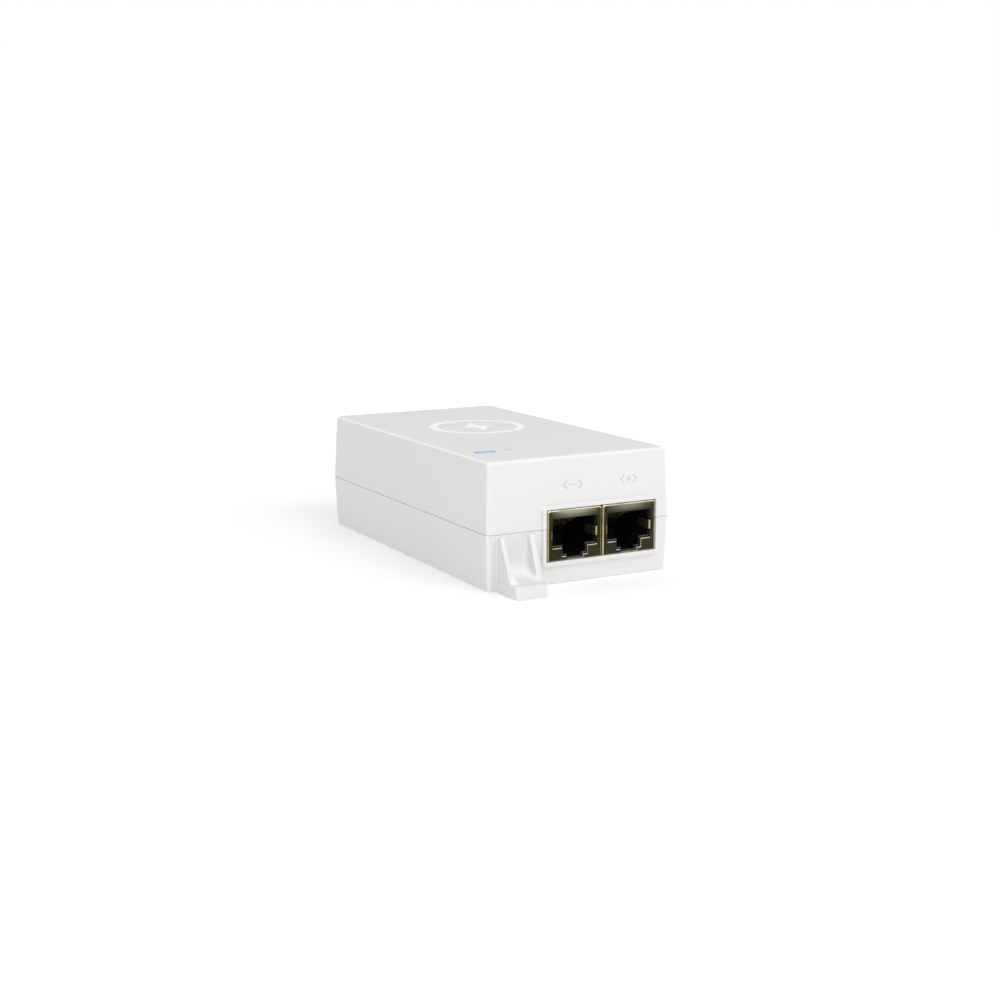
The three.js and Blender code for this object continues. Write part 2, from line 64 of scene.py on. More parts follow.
SOCKET_W, SOCKET_H, SOCKET_CUT, SOCKET_DEPTH = 24.4, 16.4, 4.6, 17.0
SCREWS = ((-21.4, -41.6), (21.0, -25.2), (-21.6, 38.0), (21.6, 38.0))
LED_X, LED_Y, LED_W, LED_D = -19.0, -32.6, 6.0, 2.3
ON_BOARD = 5.85

# ------------------------------------------------------------------ mesh tools


def obj_from(name, verts, faces):
    me = bpy.data.meshes.new(name)
    me.from_pydata([tuple(float(c) for c in v) for v in verts], [], [list(map(int, f)) for f in faces])
    me.validate()
    bm = bmesh.new()
    bm.from_mesh(me)
    bmesh.ops.remove_doubles(bm, verts=bm.verts, dist=1e-5)
    bmesh.ops.recalc_face_normals(bm, faces=bm.faces)
    bm.to_mesh(me)
    bm.free()
    o = bpy.data.objects.new(name, me)
    scene.collection.objects.link(o)
    return o


def drop(o):
    me = o.data
    bpy.data.objects.remove(o)
    if me.users == 0:
        bpy.data.meshes.remove(me)


def bake_modifiers(o):
    dg = bpy.context.evaluated_depsgraph_get()
    dg.update()
    me = bpy.data.meshes.new_from_object(o.evaluated_get(dg), preserve_all_data_layers=True, depsgraph=dg)
    old = o.data
    o.modifiers.clear()
    o.data = me
    me.name = o.name
    if old.users == 0:
        bpy.data.meshes.remove(old)
    return o


def boolean(o, other, op="DIFFERENCE", keep=False):
    m = o.modifiers.new("b", "BOOLEAN")
    m.operation = op
    m.solver = "EXACT"
    m.object = other
    bake_modifiers(o)
    if not keep:
        drop(other)
    return o


def tidy(o, dist=1e-4, angle=0.02):
    """Merges doubles and melts needless edges in flat areas, so bevels run clean."""
    bm = bmesh.new()
    bm.from_mesh(o.data)
    bmesh.ops.remove_doubles(bm, verts=bm.verts, dist=dist)
    bmesh.ops.dissolve_limit(bm, angle_limit=math.radians(angle), verts=bm.verts, edges=bm.edges, delimit={"NORMAL"})
    bm.to_mesh(o.data)
    bm.free()
    return o


def bevel(o, width, segments=2, angle=32.0, clamp=True):
    m = o.modifiers.new("bevel", "BEVEL")
    m.width = width
    m.segments = segments
    m.limit_method = "ANGLE"
    m.angle_limit = math.radians(angle)
    m.use_clamp_overlap = clamp
    m.miter_outer = "MITER_ARC"
    bake_modifiers(o)
    return o


def shade(o, angle=35.0):
    me = o.data
    me.polygons.foreach_set("use_smooth", [True] * len(me.polygons))
    me.set_sharp_from_angle(angle=math.radians(angle))
    m = o.modifiers.new("wn", "WEIGHTED_NORMAL")
    m.mode = "FACE_AREA"
    m.weight = 50
    m.keep_sharp = True
    bake_modifiers(o)
    return o


def join(name, objs):
    bm = bmesh.new()
    for o in objs:
        me = o.data.copy()
        me.transform(o.matrix_world)
        bm.from_mesh(me)
        bpy.data.meshes.remove(me)
    me = bpy.data.meshes.new(name)
    bm.to_mesh(me)
    bm.free()
    for o in objs:
        drop(o)
    o = bpy.data.objects.new(name, me)
    scene.collection.objects.link(o)
    return o


def settle(o, material, body=BODY, replaces=(), sharp=35.0):
    """Last step for a piece built in millimetres: shading, metres, material, body."""
    if sharp is not None:
        shade(o, sharp)
    o.data.transform(Matrix.Scale(MM, 4))
    o.data.materials.clear()
    o.data.materials.append(material)
    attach(o, body)
    if replaces:
        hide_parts(*replaces)
    return o


def rrect(x0, x1, y0, y1, r, n=10):
    """Closed outline of a rounded rectangle. r is one radius or four, from the lower left corner round."""
    rs = [r] * 4 if not isinstance(r, (list, tuple)) else list(r)
    pts = []
    corners = ((x0, y0, 180), (x1, y0, 270), (x1, y1, 0), (x0, y1, 90))
    for (cx, cy, a0), q in zip(corners, rs):
        if q <= 1e-6:
            pts.append((cx, cy))
            continue
        ox = cx + q if cx == x0 else cx - q
        oy = cy + q if cy == y0 else cy - q
        for i in range(n + 1):
            a = math.radians(a0 + 90 * i / n)
            pts.append((ox + q * math.cos(a), oy + q * math.sin(a)))
    return pts


def loft(name, loops, cap0=True, cap1=True, closed=False):
    """Quads between loops of equal length, with flat caps."""
    n = len(loops[0])
    verts = [p for lp in loops for p in lp]
    faces = []
    k = len(loops)
    for i in range(k if closed else k - 1):
        a, b = i * n, ((i + 1) % k) * n
        for j in range(n):
            j2 = (j + 1) % n
            faces.append((a + j, a + j2, b + j2, b + j))
    if cap0 and not closed:
        faces.append(tuple(range(n))[::-1])
    if cap1 and not closed:
        faces.append(tuple((k - 1) * n + j for j in range(n)))
    return obj_from(name, verts, faces)


def prism(name, outline, axis, a, b):
    """Outline swept straight from a to b along axis: z takes (x, y), y takes (x, z), x takes (y, z)."""
    put = {"z": lambda p, t: (p[0], p[1], t), "y": lambda p, t: (p[0], t, p[1]), "x": lambda p, t: (t, p[0], p[1])}[axis]
    return loft(name, [[put(p, a) for p in outline], [put(p, b) for p in outline]])


def cuboid(name, x0, x1, y0, y1, z0, z1):
    return prism(name, [(x0, y0), (x1, y0), (x1, y1), (x0, y1)], "z", z0, z1)


def tube(name, x, y, r, z0, z1, sides=48):
    return prism(name, [(x + r * math.cos(2 * math.pi * i / sides), y + r * math.sin(2 * math.pi * i / sides)) for i in range(sides)], "z", z0, z1)


def turned(name, x, y, profile, sides=48):
    """Profile of (radius, z) points turned about a vertical axis; it starts and ends on the axis."""
    loops = []
    for r, z in profile:
        rr = max(r, 1e-4)
        loops.append([(x + rr * math.cos(2 * math.pi * i / sides), y + rr * math.sin(2 * math.pi * i / sides), z) for i in range(sides)])
    return loft(name, loops)


def sweep(name, path, width_dir, width, thickness, taper=None):
    """A flat wire: path points, each with a cross-section of width along width_dir and thickness across."""
    wd = Vector(width_dir).normalized()
    pts = [Vector(p) for p in path]
    loops = []
    c = min(width, thickness) * 0.22
    for i, p in enumerate(pts):
        t = (pts[min(i + 1, len(pts) - 1)] - pts[max(i - 1, 0)]).normalized()
        n = t.cross(wd).normalized()
        w = width / 2 * (taper(i / (len(pts) - 1)) if taper else 1)
        h = thickness / 2
        prof = [(w - c, h), (w, h - c), (w, -h + c), (w - c, -h), (-w + c, -h), (-w, -h + c), (-w, h - c), (-w + c, h)]
        loops.append([tuple(p + wd * a + n * b) for a, b in prof])
    return loft(name, loops)


def smooth_path(points, step=0.12, r=0.35):
    """Rounds the corners of a polyline and samples it evenly."""
    pts = [np.array(p, float) for p in points]
    out = [pts[0]]
    for a, b, c in zip(pts, pts[1:], pts[2:]):
        u, v = a - b, c - b
        lu, lv = np.linalg.norm(u), np.linalg.norm(v)
        q = min(r, lu * 0.45, lv * 0.45)
        p0, p2 = b + u / lu * q, b + v / lv * q
        for k in range(7):
            s = k / 6
            out.append((1 - s) ** 2 * p0 + 2 * s * (1 - s) * b + s * s * p2)
    out.append(pts[-1])
    res = [out[0]]
    for p in out[1:]:
        d = np.linalg.norm(p - res[-1])
        if d < 1e-6:
            continue
        k = max(1, int(d / (step * 8)))
        base = res[-1]
        for i in range(1, k + 1):
            res.append(base + (p - base) * i / k)
    return res


# ------------------------------------------------------------------ smooth solids from a distance field


def surface_of(name, field, lo, hi, step):
    """Closed quad mesh of field = 0 inside the box lo..hi, by surface nets, with each vertex moved onto the surface."""
    lo, hi = np.array(lo, float), np.array(hi, float)
    n = np.ceil((hi - lo) / step).astype(int) + 1
    ax = [lo[i] + step * np.arange(n[i]) for i in range(3)]
    X, Y, Z = np.meshgrid(*ax, indexing="ij")
    d = field(X, Y, Z)
    inside = d < 0
    corner = np.zeros(tuple(n - 1), int)
    for dx in (0, 1):
        for dy in (0, 1):
            for dz in (0, 1):
                corner += inside[dx : n[0] - 1 + dx, dy : n[1] - 1 + dy, dz : n[2] - 1 + dz]
    active = (corner > 0) & (corner < 8)
    idx = -np.ones(tuple(n - 1), int)
    cells = np.argwhere(active)
    idx[active] = np.arange(len(cells))
    acc = np.zeros((len(cells), 3))
    cnt = np.zeros(len(cells))
    offs = [(dx, dy, dz) for dx in (0, 1) for dy in (0, 1) for dz in (0, 1)]
    for a in offs:
        for b in offs:
            if sum(abs(a[i] - b[i]) for i in range(3)) != 1 or a > b:
                continue
            pa, pb = cells + a, cells + b
            da, db = d[tuple(pa.T)], d[tuple(pb.T)]
            hit = (da < 0) != (db < 0)
            t = np.where(hit, da / np.where(hit, da - db, 1), 0)
            p = pa + (pb - pa) * t[:, None]
            acc[hit] += p[hit]
            cnt[hit] += 1
    v = lo + acc / cnt[:, None] * step
    eps = step * 0.05
    for _ in range(3):
        f0 = field(*v.T)
        g = np.stack([field(*(v + np.eye(3)[i] * eps).T) - field(*(v - np.eye(3)[i] * eps).T) for i in range(3)], 1) / (2 * eps)
        gn = np.maximum((g * g).sum(1), 0.3)
        move = -(f0 / gn)[:, None] * g
        ln = np.linalg.norm(move, axis=1, keepdims=True)
        v = v + move * np.minimum(1, step * 0.5 / np.maximum(ln, 1e-9))
    quads = []
    for axis in range(3):
        o1, o2 = [(1, 2), (2, 0), (0, 1)][axis]
        sl_a = [slice(None)] * 3
        sl_b = [slice(None)] * 3
        sl_a[axis], sl_b[axis] = slice(0, -1), slice(1, None)
        s = inside[tuple(sl_a)] != inside[tuple(sl_b)]
        flip = inside[tuple(sl_a)]
        pos = np.argwhere(s)
        ok = (pos[:, o1] > 0) & (pos[:, o2] > 0) & (pos[:, o1] < n[o1] - 1) & (pos[:, o2] < n[o2] - 1)
        pos = pos[ok]
        e1, e2 = np.eye(3, dtype=int)[o1], np.eye(3, dtype=int)[o2]
        q = np.stack([idx[tuple((pos - e1 - e2).T)], idx[tuple((pos - e2).T)], idx[tuple(pos.T)], idx[tuple((pos - e1).T)]], 1)
        fl = flip[tuple(pos.T)]
        q[~fl] = q[~fl][:, ::-1]
        quads.append(q)
    return obj_from(name, v, np.concatenate(quads))


def round_union(a, b, r):
    return np.maximum(r, np.minimum(a, b)) - np.sqrt(np.maximum(r - a, 0) ** 2 + np.maximum(r - b, 0) ** 2)


def ear_field(x, y, z):
    """The front ear and the strip of wall it grows from."""
    wall_y = -(L / 2 - DRAFT_BOTTOM * (SEAM - z) / SEAM)
    wall = -(y - wall_y) + 0.004
    # pad: rounded in plan, with a slightly softened rim
    rr, e = EAR_R, 0.24
    cx, cy = (EAR_X0 + EAR_X1) / 2, -50.0
    # the strip dips under the shell before it ends
    wall = wall + 0.14 * np.clip((np.abs(x - cx) - ((EAR_X1 - EAR_X0) / 2 + 0.75)) / 0.6, 0, 1)
    qx = np.abs(x - cx) - ((EAR_X1 - EAR_X0) / 2 - rr)
    qy = np.abs(y - cy) - ((cy - EAR_Y) - rr)
    plan = np.sqrt(np.maximum(qx, 0) ** 2 + np.maximum(qy, 0) ** 2) + np.minimum(np.maximum(qx, qy), 0) - rr
    up = z - EAR_PAD
    pad = np.minimum(np.maximum(plan + e, up + e), 0) + np.sqrt(np.maximum(plan + e, 0) ** 2 + np.maximum(up + e, 0) ** 2) - e
    # ribs: a sloping back, softened along its edges
    s0, s1 = (RIB_TOP, SEAM - 0.35), (EAR_FOOT, EAR_PAD)
    dy, dz = s1[0] - s0[0], s1[1] - s0[1]
    ln = math.hypot(dy, dz)
    slope = ((y - s0[0]) * dz - (z - s0[1]) * dy) / ln
    top = z - (SEAM - 0.3)
    d = None
    for a, b in ((EAR_X0, EAR_X0 + RIB), (EAR_X1 - RIB_INNER, EAR_X1)):
        shift = 0.5 * np.clip((z - EAR_PAD) / (SEAM - EAR_PAD), 0, 1) if b == EAR_X1 else 0.0
        side = np.abs(x - (a + b) / 2 - shift) - (b - a) / 2
        er = 0.14
        m = np.maximum(slope, top)
        rib = np.minimum(np.maximum(side + er, m + er), 0) + np.sqrt(np.maximum(side + er, 0) ** 2 + np.maximum(m + er, 0) ** 2) - er
        rib = np.maximum(rib, -z - 5)
        d = rib if d is None else np.minimum(d, rib)
    inner = np.clip((x - EAR_X0 - 0.4) / 1.0, 0, 1) * np.clip((EAR_X1 - 0.4 - x) / 1.0, 0, 1)
    scoop = round_union(wall, pad, 0.4 + 5.2 * inner)
    whole = round_union(scoop, d, 0.4 + 1.9 * inner * np.clip((13.6 - z) / 5, 0, 1))
    # keep to the strip of wall and above the table
    whole = np.maximum(whole, -z)
    whole = np.maximum(whole, z - (SEAM - 0.14))
    whole = np.maximum(whole, np.abs(x - cx) - ((EAR_X1 - EAR_X0) / 2 + 1.5))
    return np.maximum(whole, y + 46.9)


# ------------------------------------------------------------------ materials


class Nodes:
    """Short hand for building a node material."""

    def __init__(self, name):
        self.m = bpy.data.materials.new(name)
        self.m.use_nodes = True
        self.t = self.m.node_tree
        self.t.nodes.clear()
        self.out = self.t.nodes.new("ShaderNodeOutputMaterial")
        self.b = self.t.nodes.new("ShaderNodeBsdfPrincipled")
        self.t.links.new(self.b.outputs["BSDF"], self.out.inputs["Surface"])
        self.coord = self.t.nodes.new("ShaderNodeTexCoord").outputs["Object"]

    def set(self, **kw):
        for k, v in kw.items():
            k = k.replace("_", " ")
            sock = self.b.inputs[k]
            if hasattr(v, "is_linked") or v.__class__.__name__.startswith("NodeSocket"):
                self.t.links.new(v, sock)
            elif isinstance(v, tuple) and len(v) == 3:
                sock.default_value = (*v, 1.0)
            else:
                sock.default_value = v
        return self

    def noise(self, scale, detail=2.0, rough=0.5, stretch=None, out="Fac"):
        n = self.t.nodes.new("ShaderNodeTexNoise")
        n.inputs["Scale"].default_value = scale
        n.inputs["Detail"].default_value = detail
        n.inputs["Roughness"].default_value = rough
        src = self.coord
        if stretch:
            mp = self.t.nodes.new("ShaderNodeMapping")
            mp.inputs["Scale"].default_value = stretch
            self.t.links.new(self.coord, mp.inputs["Vector"])
            src = mp.outputs["Vector"]
        self.t.links.new(src, n.inputs["Vector"])
        return n.outputs[out]

    def ramp(self, fac, stops):
        r = self.t.nodes.new("ShaderNodeValToRGB")
        r.color_ramp.elements[0].position = stops[0][0]
        r.color_ramp.elements[0].color = (*stops[0][1], 1) if isinstance(stops[0][1], tuple) else (stops[0][1],) * 3 + (1,)
        r.color_ramp.elements[1].position = stops[-1][0]
        r.color_ramp.elements[1].color = (*stops[-1][1], 1) if isinstance(stops[-1][1], tuple) else (stops[-1][1],) * 3 + (1,)
        for pos, col in stops[1:-1]:
            e = r.color_ramp.elements.new(pos)
            e.color = (*col, 1) if isinstance(col, tuple) else (col,) * 3 + (1,)
        self.t.links.new(fac, r.inputs["Fac"])
        return r.outputs["Color"]

    def span(self, fac, lo, hi, a=0.0, b=1.0):
        r = self.t.nodes.new("ShaderNodeMapRange")
        r.inputs["From Min"].default_value = a
        r.inputs["From Max"].default_value = b
        r.inputs["To Min"].default_value = lo
        r.inputs["To Max"].default_value = hi
        self.t.links.new(fac, r.inputs["Value"])
        return r.outputs["Result"]

    def math(self, op, a, b=0.0):
        n = self.t.nodes.new("ShaderNodeMath")
        n.operation = op
        for i, v in enumerate((a, b)):
            if hasattr(v, "is_linked"):
                self.t.links.new(v, n.inputs[i])
            else:
                n.inputs[i].default_value = v
        return n.outputs["Value"]

    def axis(self, which):
        s = self.t.nodes.new("ShaderNodeSeparateXYZ")
        self.t.links.new(self.coord, s.inputs["Vector"])
        return s.outputs["XYZ".index(which)]

    def mix(self, fac, a, b):
        n = self.t.nodes.new("ShaderNodeMix")
        n.data_type = "RGBA"
        ins = [s for s in n.inputs if s.enabled]
        for s, v in zip(ins, (fac, a, b)):
            if hasattr(v, "is_linked"):
                self.t.links.new(v, s)
            elif isinstance(v, tuple):
                s.default_value = (*v, 1.0)
            else:
                s.default_value = v
        return [s for s in n.outputs if s.enabled][0]

    def bump(self, height, strength, distance):
        n = self.t.nodes.new("ShaderNodeBump")
        n.inputs["Strength"].default_value = strength
        n.inputs["Distance"].default_value = distance
        self.t.links.new(height, n.inputs["Height"])
        self.t.links.new(n.outputs["Normal"], self.b.inputs["Normal"])
        return self


def plastic(name, color, rough=0.45, grain=2600.0, depth=0.00002, vary=0.03, ior=1.5, strength=0.35):
    k = Nodes(name)
    n = k.noise(38.0, 3.0)
    lo = tuple(c * (1 - vary) for c in color)
    k.set(Base_Color=k.ramp(n, [(0.3, lo), (0.7, color)]), IOR=ior)
    k.set(Roughness=k.span(k.noise(420.0, 2.0), rough * 0.9, rough * 1.1))
    k.bump(k.noise(grain, 2.0, 0.6), strength, depth)
    return k.m


def metal(name, color, rough=0.3, vary=0.12, stretch=(60.0, 60.0, 2600.0), grain=1.0, depth=0.000004, strength=0.4):
    k = Nodes(name)
    streak = k.noise(grain, 3.0, 0.6, stretch=stretch)
    lo = tuple(c * (1 - vary) for c in color)
    k.set(Base_Color=k.ramp(streak, [(0.3, lo), (0.72, color)]), Metallic=1.0)
    k.set(Roughness=k.span(streak, rough * 0.8, rough * 1.25))
    k.bump(streak, strength, depth)
    return k.m


def shell_plastic():
    k = Nodes("shell_white")
    broad = k.noise(30.0, 3.0)
    body = k.ramp(broad, [(0.3, (0.770, 0.770, 0.766)), (0.7, (0.785, 0.785, 0.781))])
    # painted highlight: the rounded edges get a lighter base colour than the flat faces, lightest where the normal's X
    # and Z have opposite signs, as on the upper left edges
    geo = k.t.nodes.new("ShaderNodeNewGeometry")
    part = k.t.nodes.new("ShaderNodeSeparateXYZ")
    k.t.links.new(geo.outputs["Normal"], part.inputs["Vector"])
    most = k.math("MAXIMUM", k.math("ABSOLUTE", part.outputs["X"]), k.math("MAXIMUM", k.math("ABSOLUTE", part.outputs["Y"]), k.math("ABSOLUTE", part.outputs["Z"])))
    edge = k.mix(k.span(k.math("MULTIPLY", part.outputs["X"], part.outputs["Z"]), 1.0, 0.0, -0.42, -0.12), (0.87, 0.87, 0.87), (0.97, 0.97, 0.965))
    k.set(Base_Color=k.mix(k.span(most, 1.0, 0.0, 0.76, 0.97), body, edge), IOR=1.46)
    k.set(Roughness=k.span(k.noise(900.0, 2.0), 0.44, 0.56))
    k.set(Subsurface_Weight=0.0)
    k.bump(k.noise(3600.0, 2.0, 0.55), 0.35, 0.000035)
    return k.m


def shield_metal():
    """Nickel plate with a warm, olive cast and fine rolling lines, whose base colour holds painted light: a painted
    highlight near the top middle of each jack, and elsewhere a near-black tone that is painted reflection of dim
    surroundings, so it darkens away from its bright middle.
    """
    k = Nodes("shield_nickel")
    streak = k.noise(1.0, 4.0, 0.65, stretch=(90.0, 90.0, 5200.0))
    x, z = k.axis("X"), k.axis("Z")
    # distance from the middle of the nearer jack, in units of half its width
    lan = k.math("ABSOLUTE", k.math("SUBTRACT", x, JACKS[0][1] * MM))
    poe = k.math("ABSOLUTE", k.math("SUBTRACT", x, JACKS[1][1] * MM))
    near = k.math("MINIMUM", lan, poe)
    mid = k.span(near, 1.0, 0.0, 0.0015, 0.0072)
    high = k.span(z, 0.0, 1.0, 0.0165, 0.0182)
    nearer = k.span(x, 1.0, 0.55, 0.0050, 0.0070)
    behind = k.span(k.axis("Y"), 0.0, 0.55, (JACK_FACE + 0.55) * MM, (JACK_FACE + 1.6) * MM)
    # painted highlight: the mask is high at the middle of each jack near its top fold, lower on the right jack, and
    # part way up on the surfaces behind the front
    painted_highlight_mask = k.math("MAXIMUM", k.math("MULTIPLY", k.math("MULTIPLY", mid, high), nearer), behind)
    cloud = k.noise(140.0, 2.0)
    # painted reflection: the near-black olive tone stands for the dim surroundings the nickel reflects, and the lighter
    # streaked tone on the next line is the painted highlight
    painted_dark_reflection = k.mix(k.span(cloud, 0.0, 1.0, 0.35, 0.65), (0.030, 0.028, 0.016), (0.046, 0.043, 0.025))
    lit = k.mix(k.span(streak, 0.0, 1.0, 0.3, 0.75), (0.26, 0.26, 0.185), (0.56, 0.56, 0.44))
    k.set(Base_Color=k.mix(painted_highlight_mask, painted_dark_reflection, lit), Metallic=1.0)
    k.set(Roughness=k.span(streak, 0.24, 0.36))
    k.bump(streak, 0.35, 0.000006)
    return k.m


def edge_metal(name, dull, bright):
    """Bare folded and cut edges of the shields, slightly brassy; it is made in a bright copy and a darker copy, painted
    highlight and painted shade.
    """
    k = Nodes(name)
    k.set(Base_Color=k.ramp(k.noise(260.0, 3.0), [(0.3, dull), (0.7, bright)]), Metallic=1.0)
    k.set(Roughness=k.span(k.noise(700.0), 0.22, 0.34))
    return k.m


def glow_blue():
    """Clear bar, lit from below: bright in the middle and deeper blue towards its ends."""
    k = Nodes("light_pipe_blue")
    x = k.axis("X")
    off = k.math("ABSOLUTE", k.math("SUBTRACT", x, LED_X * MM))
    across = k.math("MULTIPLY", off, 1000.0 / 3.0)
    tone = k.ramp(across, [(0.0, (0.07, 0.45, 0.74)), (0.45, (0.05, 0.34, 0.66)), (1.0, (0.03, 0.17, 0.46))])
    k.set(Base_Color=tone, Roughness=k.span(k.noise(500.0), 0.30, 0.40), Transmission_Weight=0.10, IOR=1.40)
    k.set(Emission_Color=tone, Emission_Strength=0.28)
    k.bump(k.noise(1500.0), 0.2, 0.00001)
    return k.m


def board_green():
    k = Nodes("board_laminate")
    weave = k.t.nodes.new("ShaderNodeTexChecker")
    weave.inputs["Scale"].default_value = 2200.0
    k.t.links.new(k.coord, weave.inputs["Vector"])
    base = k.mix(k.span(k.noise(60.0, 4.0), 0.0, 1.0, 0.4, 0.6), (0.012, 0.085, 0.035), (0.020, 0.125, 0.055))
    k.set(Base_Color=base, Roughness=0.38)
    k.bump(weave.outputs["Fac"], 0.15, 0.000008)
    return k.m


def ferrite_grey():
    k = Nodes("ferrite")
    k.set(Base_Color=k.ramp(k.noise(900.0, 4.0, 0.7), [(0.3, (0.030, 0.031, 0.034)), (0.7, (0.055, 0.056, 0.060))]), Roughness=0.62)
    k.bump(k.noise(2400.0, 3.0, 0.7), 0.5, 0.00004)
    return k.m


def tape_yellow():
    k = Nodes("winding_tape")
    wave = k.t.nodes.new("ShaderNodeTexWave")
    wave.bands_direction = "Z"
    wave.inputs["Scale"].default_value = 160.0
    wave.inputs["Distortion"].default_value = 1.2
    k.t.links.new(k.coord, wave.inputs["Vector"])
    k.set(Base_Color=k.mix(k.span(wave.outputs["Fac"], 0.0, 0.25), (0.72, 0.47, 0.045), (0.58, 0.36, 0.035)), Roughness=0.3)
    k.set(Coat_Weight=0.4)
    k.bump(wave.outputs["Fac"], 0.3, 0.00003)
    return k.m


def sleeve_blue():
    """Dark blue shrink sleeve."""
    k = Nodes("capacitor_sleeve")
    k.set(Base_Color=k.ramp(k.noise(45.0), [(0.3, (0.010, 0.018, 0.055)), (0.7, (0.016, 0.028, 0.080))]), Roughness=0.27)
    k.set(Coat_Weight=0.25)
    k.bump(k.noise(320.0, 3.0), 0.15, 0.00003)
    return k.m


WHITE = shell_plastic()
SHIELD = shield_metal()
# painted highlight and painted shade: a bright copy of the edge metal for folds and cut edges facing up, and a darker
# copy for the others
SHIELD_EDGE_LIT = edge_metal("shield_edge_painted_highlight", (0.60, 0.53, 0.34), (0.92, 0.86, 0.66))
SHIELD_EDGE_SHADED = edge_metal("shield_edge_painted_shade", (0.34, 0.27, 0.13), (0.62, 0.52, 0.30))
INSERT = plastic("insert_black", (0.0040, 0.0045, 0.0050), ior=1.40, rough=0.38, grain=1800.0, vary=0.2, strength=0.25)
# painted highlight: a lighter grey copy of the black insert plastic for its up-facing front edges
INSERT_EDGE_LIT = plastic("insert_black_painted_highlight", (0.085, 0.085, 0.078), rough=0.30, grain=1800.0, vary=0.2, strength=0.25)
GOLD = metal("contact_gold", (0.90, 0.66, 0.27), rough=0.40, stretch=(400.0, 30.0, 30.0), strength=0.1)
BRASS = metal("tab_metal", (0.60, 0.52, 0.31), rough=0.32, stretch=(60.0, 60.0, 3000.0), strength=0.08)
BRASS_DIM = metal("tab_metal_shaded", (0.24, 0.215, 0.13), rough=0.32, stretch=(60.0, 60.0, 3000.0), strength=0.08)
BLUE = glow_blue()
LED = plastic("led_lens", (0.72, 0.78, 0.82), rough=0.15)
STEEL = metal("screw_steel", (0.42, 0.43, 0.44), rough=0.3, stretch=(300.0, 300.0, 300.0))
BOARD = board_green()
FILM = plastic("insulation_film", (0.66, 0.63, 0.52), rough=0.28)
INLET = plastic("inlet_black", (0.012, 0.0125, 0.0135), rough=0.42, grain=2200.0, vary=0.15, strength=0.4)
TIN = metal("pin_nickel", (0.62, 0.62, 0.60), rough=0.22, stretch=(60.0, 2600.0, 60.0))
FERRITE = ferrite_grey()
TAPE = tape_yellow()
COPPER = metal("copper_wire", (0.62, 0.24, 0.085), rough=0.28, stretch=(40.0, 40.0, 1500.0))
SLEEVE = sleeve_blue()
FILMCAP = plastic("film_capacitor", (0.62, 0.43, 0.045), rough=0.35)
DISC = plastic("disc_coating", (0.035, 0.13, 0.40), rough=0.3, grain=900.0, strength=0.5)
NTC = plastic("thermistor_coating", (0.030, 0.105, 0.045), rough=0.42, grain=900.0, strength=0.6)
EPOXY = plastic("epoxy_package", (0.012, 0.0125, 0.014), rough=0.5, grain=2600.0, strength=0.5)
STRIPE = plastic("sleeve_stripe", (0.42, 0.45, 0.50), rough=0.3)
ALU = metal("heatsink_metal", (0.58, 0.59, 0.60), rough=0.33, stretch=(60.0, 60.0, 1800.0))
PRINT_GREY = plastic("print_grey", (0.60, 0.595, 0.565), rough=0.5, vary=0.04)
PRINT_GLOSS = plastic("print_gloss_white", (0.93, 0.93, 0.93), rough=0.10, vary=0.01, strength=0.02)
PRINT_DARK = plastic("print_grey_roof", (0.46, 0.455, 0.445), rough=0.5, vary=0.04)


# ------------------------------------------------------------------ shells


def shell_ring(z, inset, r, lean_in):
    k = inset + lean_in
    return [(x, y, z) for x, y in rrect(-W / 2 + k, W / 2 - k, -L / 2 + k, L / 2 - k, max(r, 0.02), 10)]


def top_lean(z):
    return DRAFT_TOP * max(0.0, z - SEAM) / (H - SEAM)


def base_lean(z):
    return DRAFT_BOTTOM * max(0.0, SEAM - z) / SEAM


EDGE = 0.14  # softened edges at the parting line
GAP = 0.065   # half the groove between the shells


def top_shell():
    loops = []
    # inside, from the ceiling down
    loops.append(shell_ring(H - WALL, WALL + 0.6, 0.3, top_lean(H - WALL)))
    loops.append(shell_ring(H - WALL - 0.6, WALL, 0.5, top_lean(H - WALL - 0.6)))
    z1 = SEAM + LIP_H + 0.25
    loops.append(shell_ring(z1, WALL, 0.5, top_lean(z1)))
    loops.append(shell_ring(z1, WALL - 0.75 - 0.3, 0.6, 0))
    loops.append(shell_ring(SEAM + GAP, WALL - 0.75 - 0.3, 0.6, 0))
    # rim at the parting line
    for i in range(5):
        a = math.pi / 2 * i / 4
        loops.append(shell_ring(SEAM + GAP + EDGE * (1 - math.cos(a)), EDGE * (1 - math.sin(a)), R_CORNER - EDGE * (1 - math.sin(a)), 0))
    # wall, then the rounded rim of the roof
    for i in range(1, 5):
        z = SEAM + 0.3 + (H - R_TOP - SEAM - 0.3) * i / 4
        loops.append(shell_ring(z, 0, R_CORNER, top_lean(z)))
    for i in range(1, 11):
        a = math.pi / 2 * i / 10
        k = R_TOP * (1 - math.cos(a))
        z = H - R_TOP + R_TOP * math.sin(a)
        loops.append(shell_ring(z, k, R_CORNER - k, top_lean(z)))
    return loft("top_shell", loops)


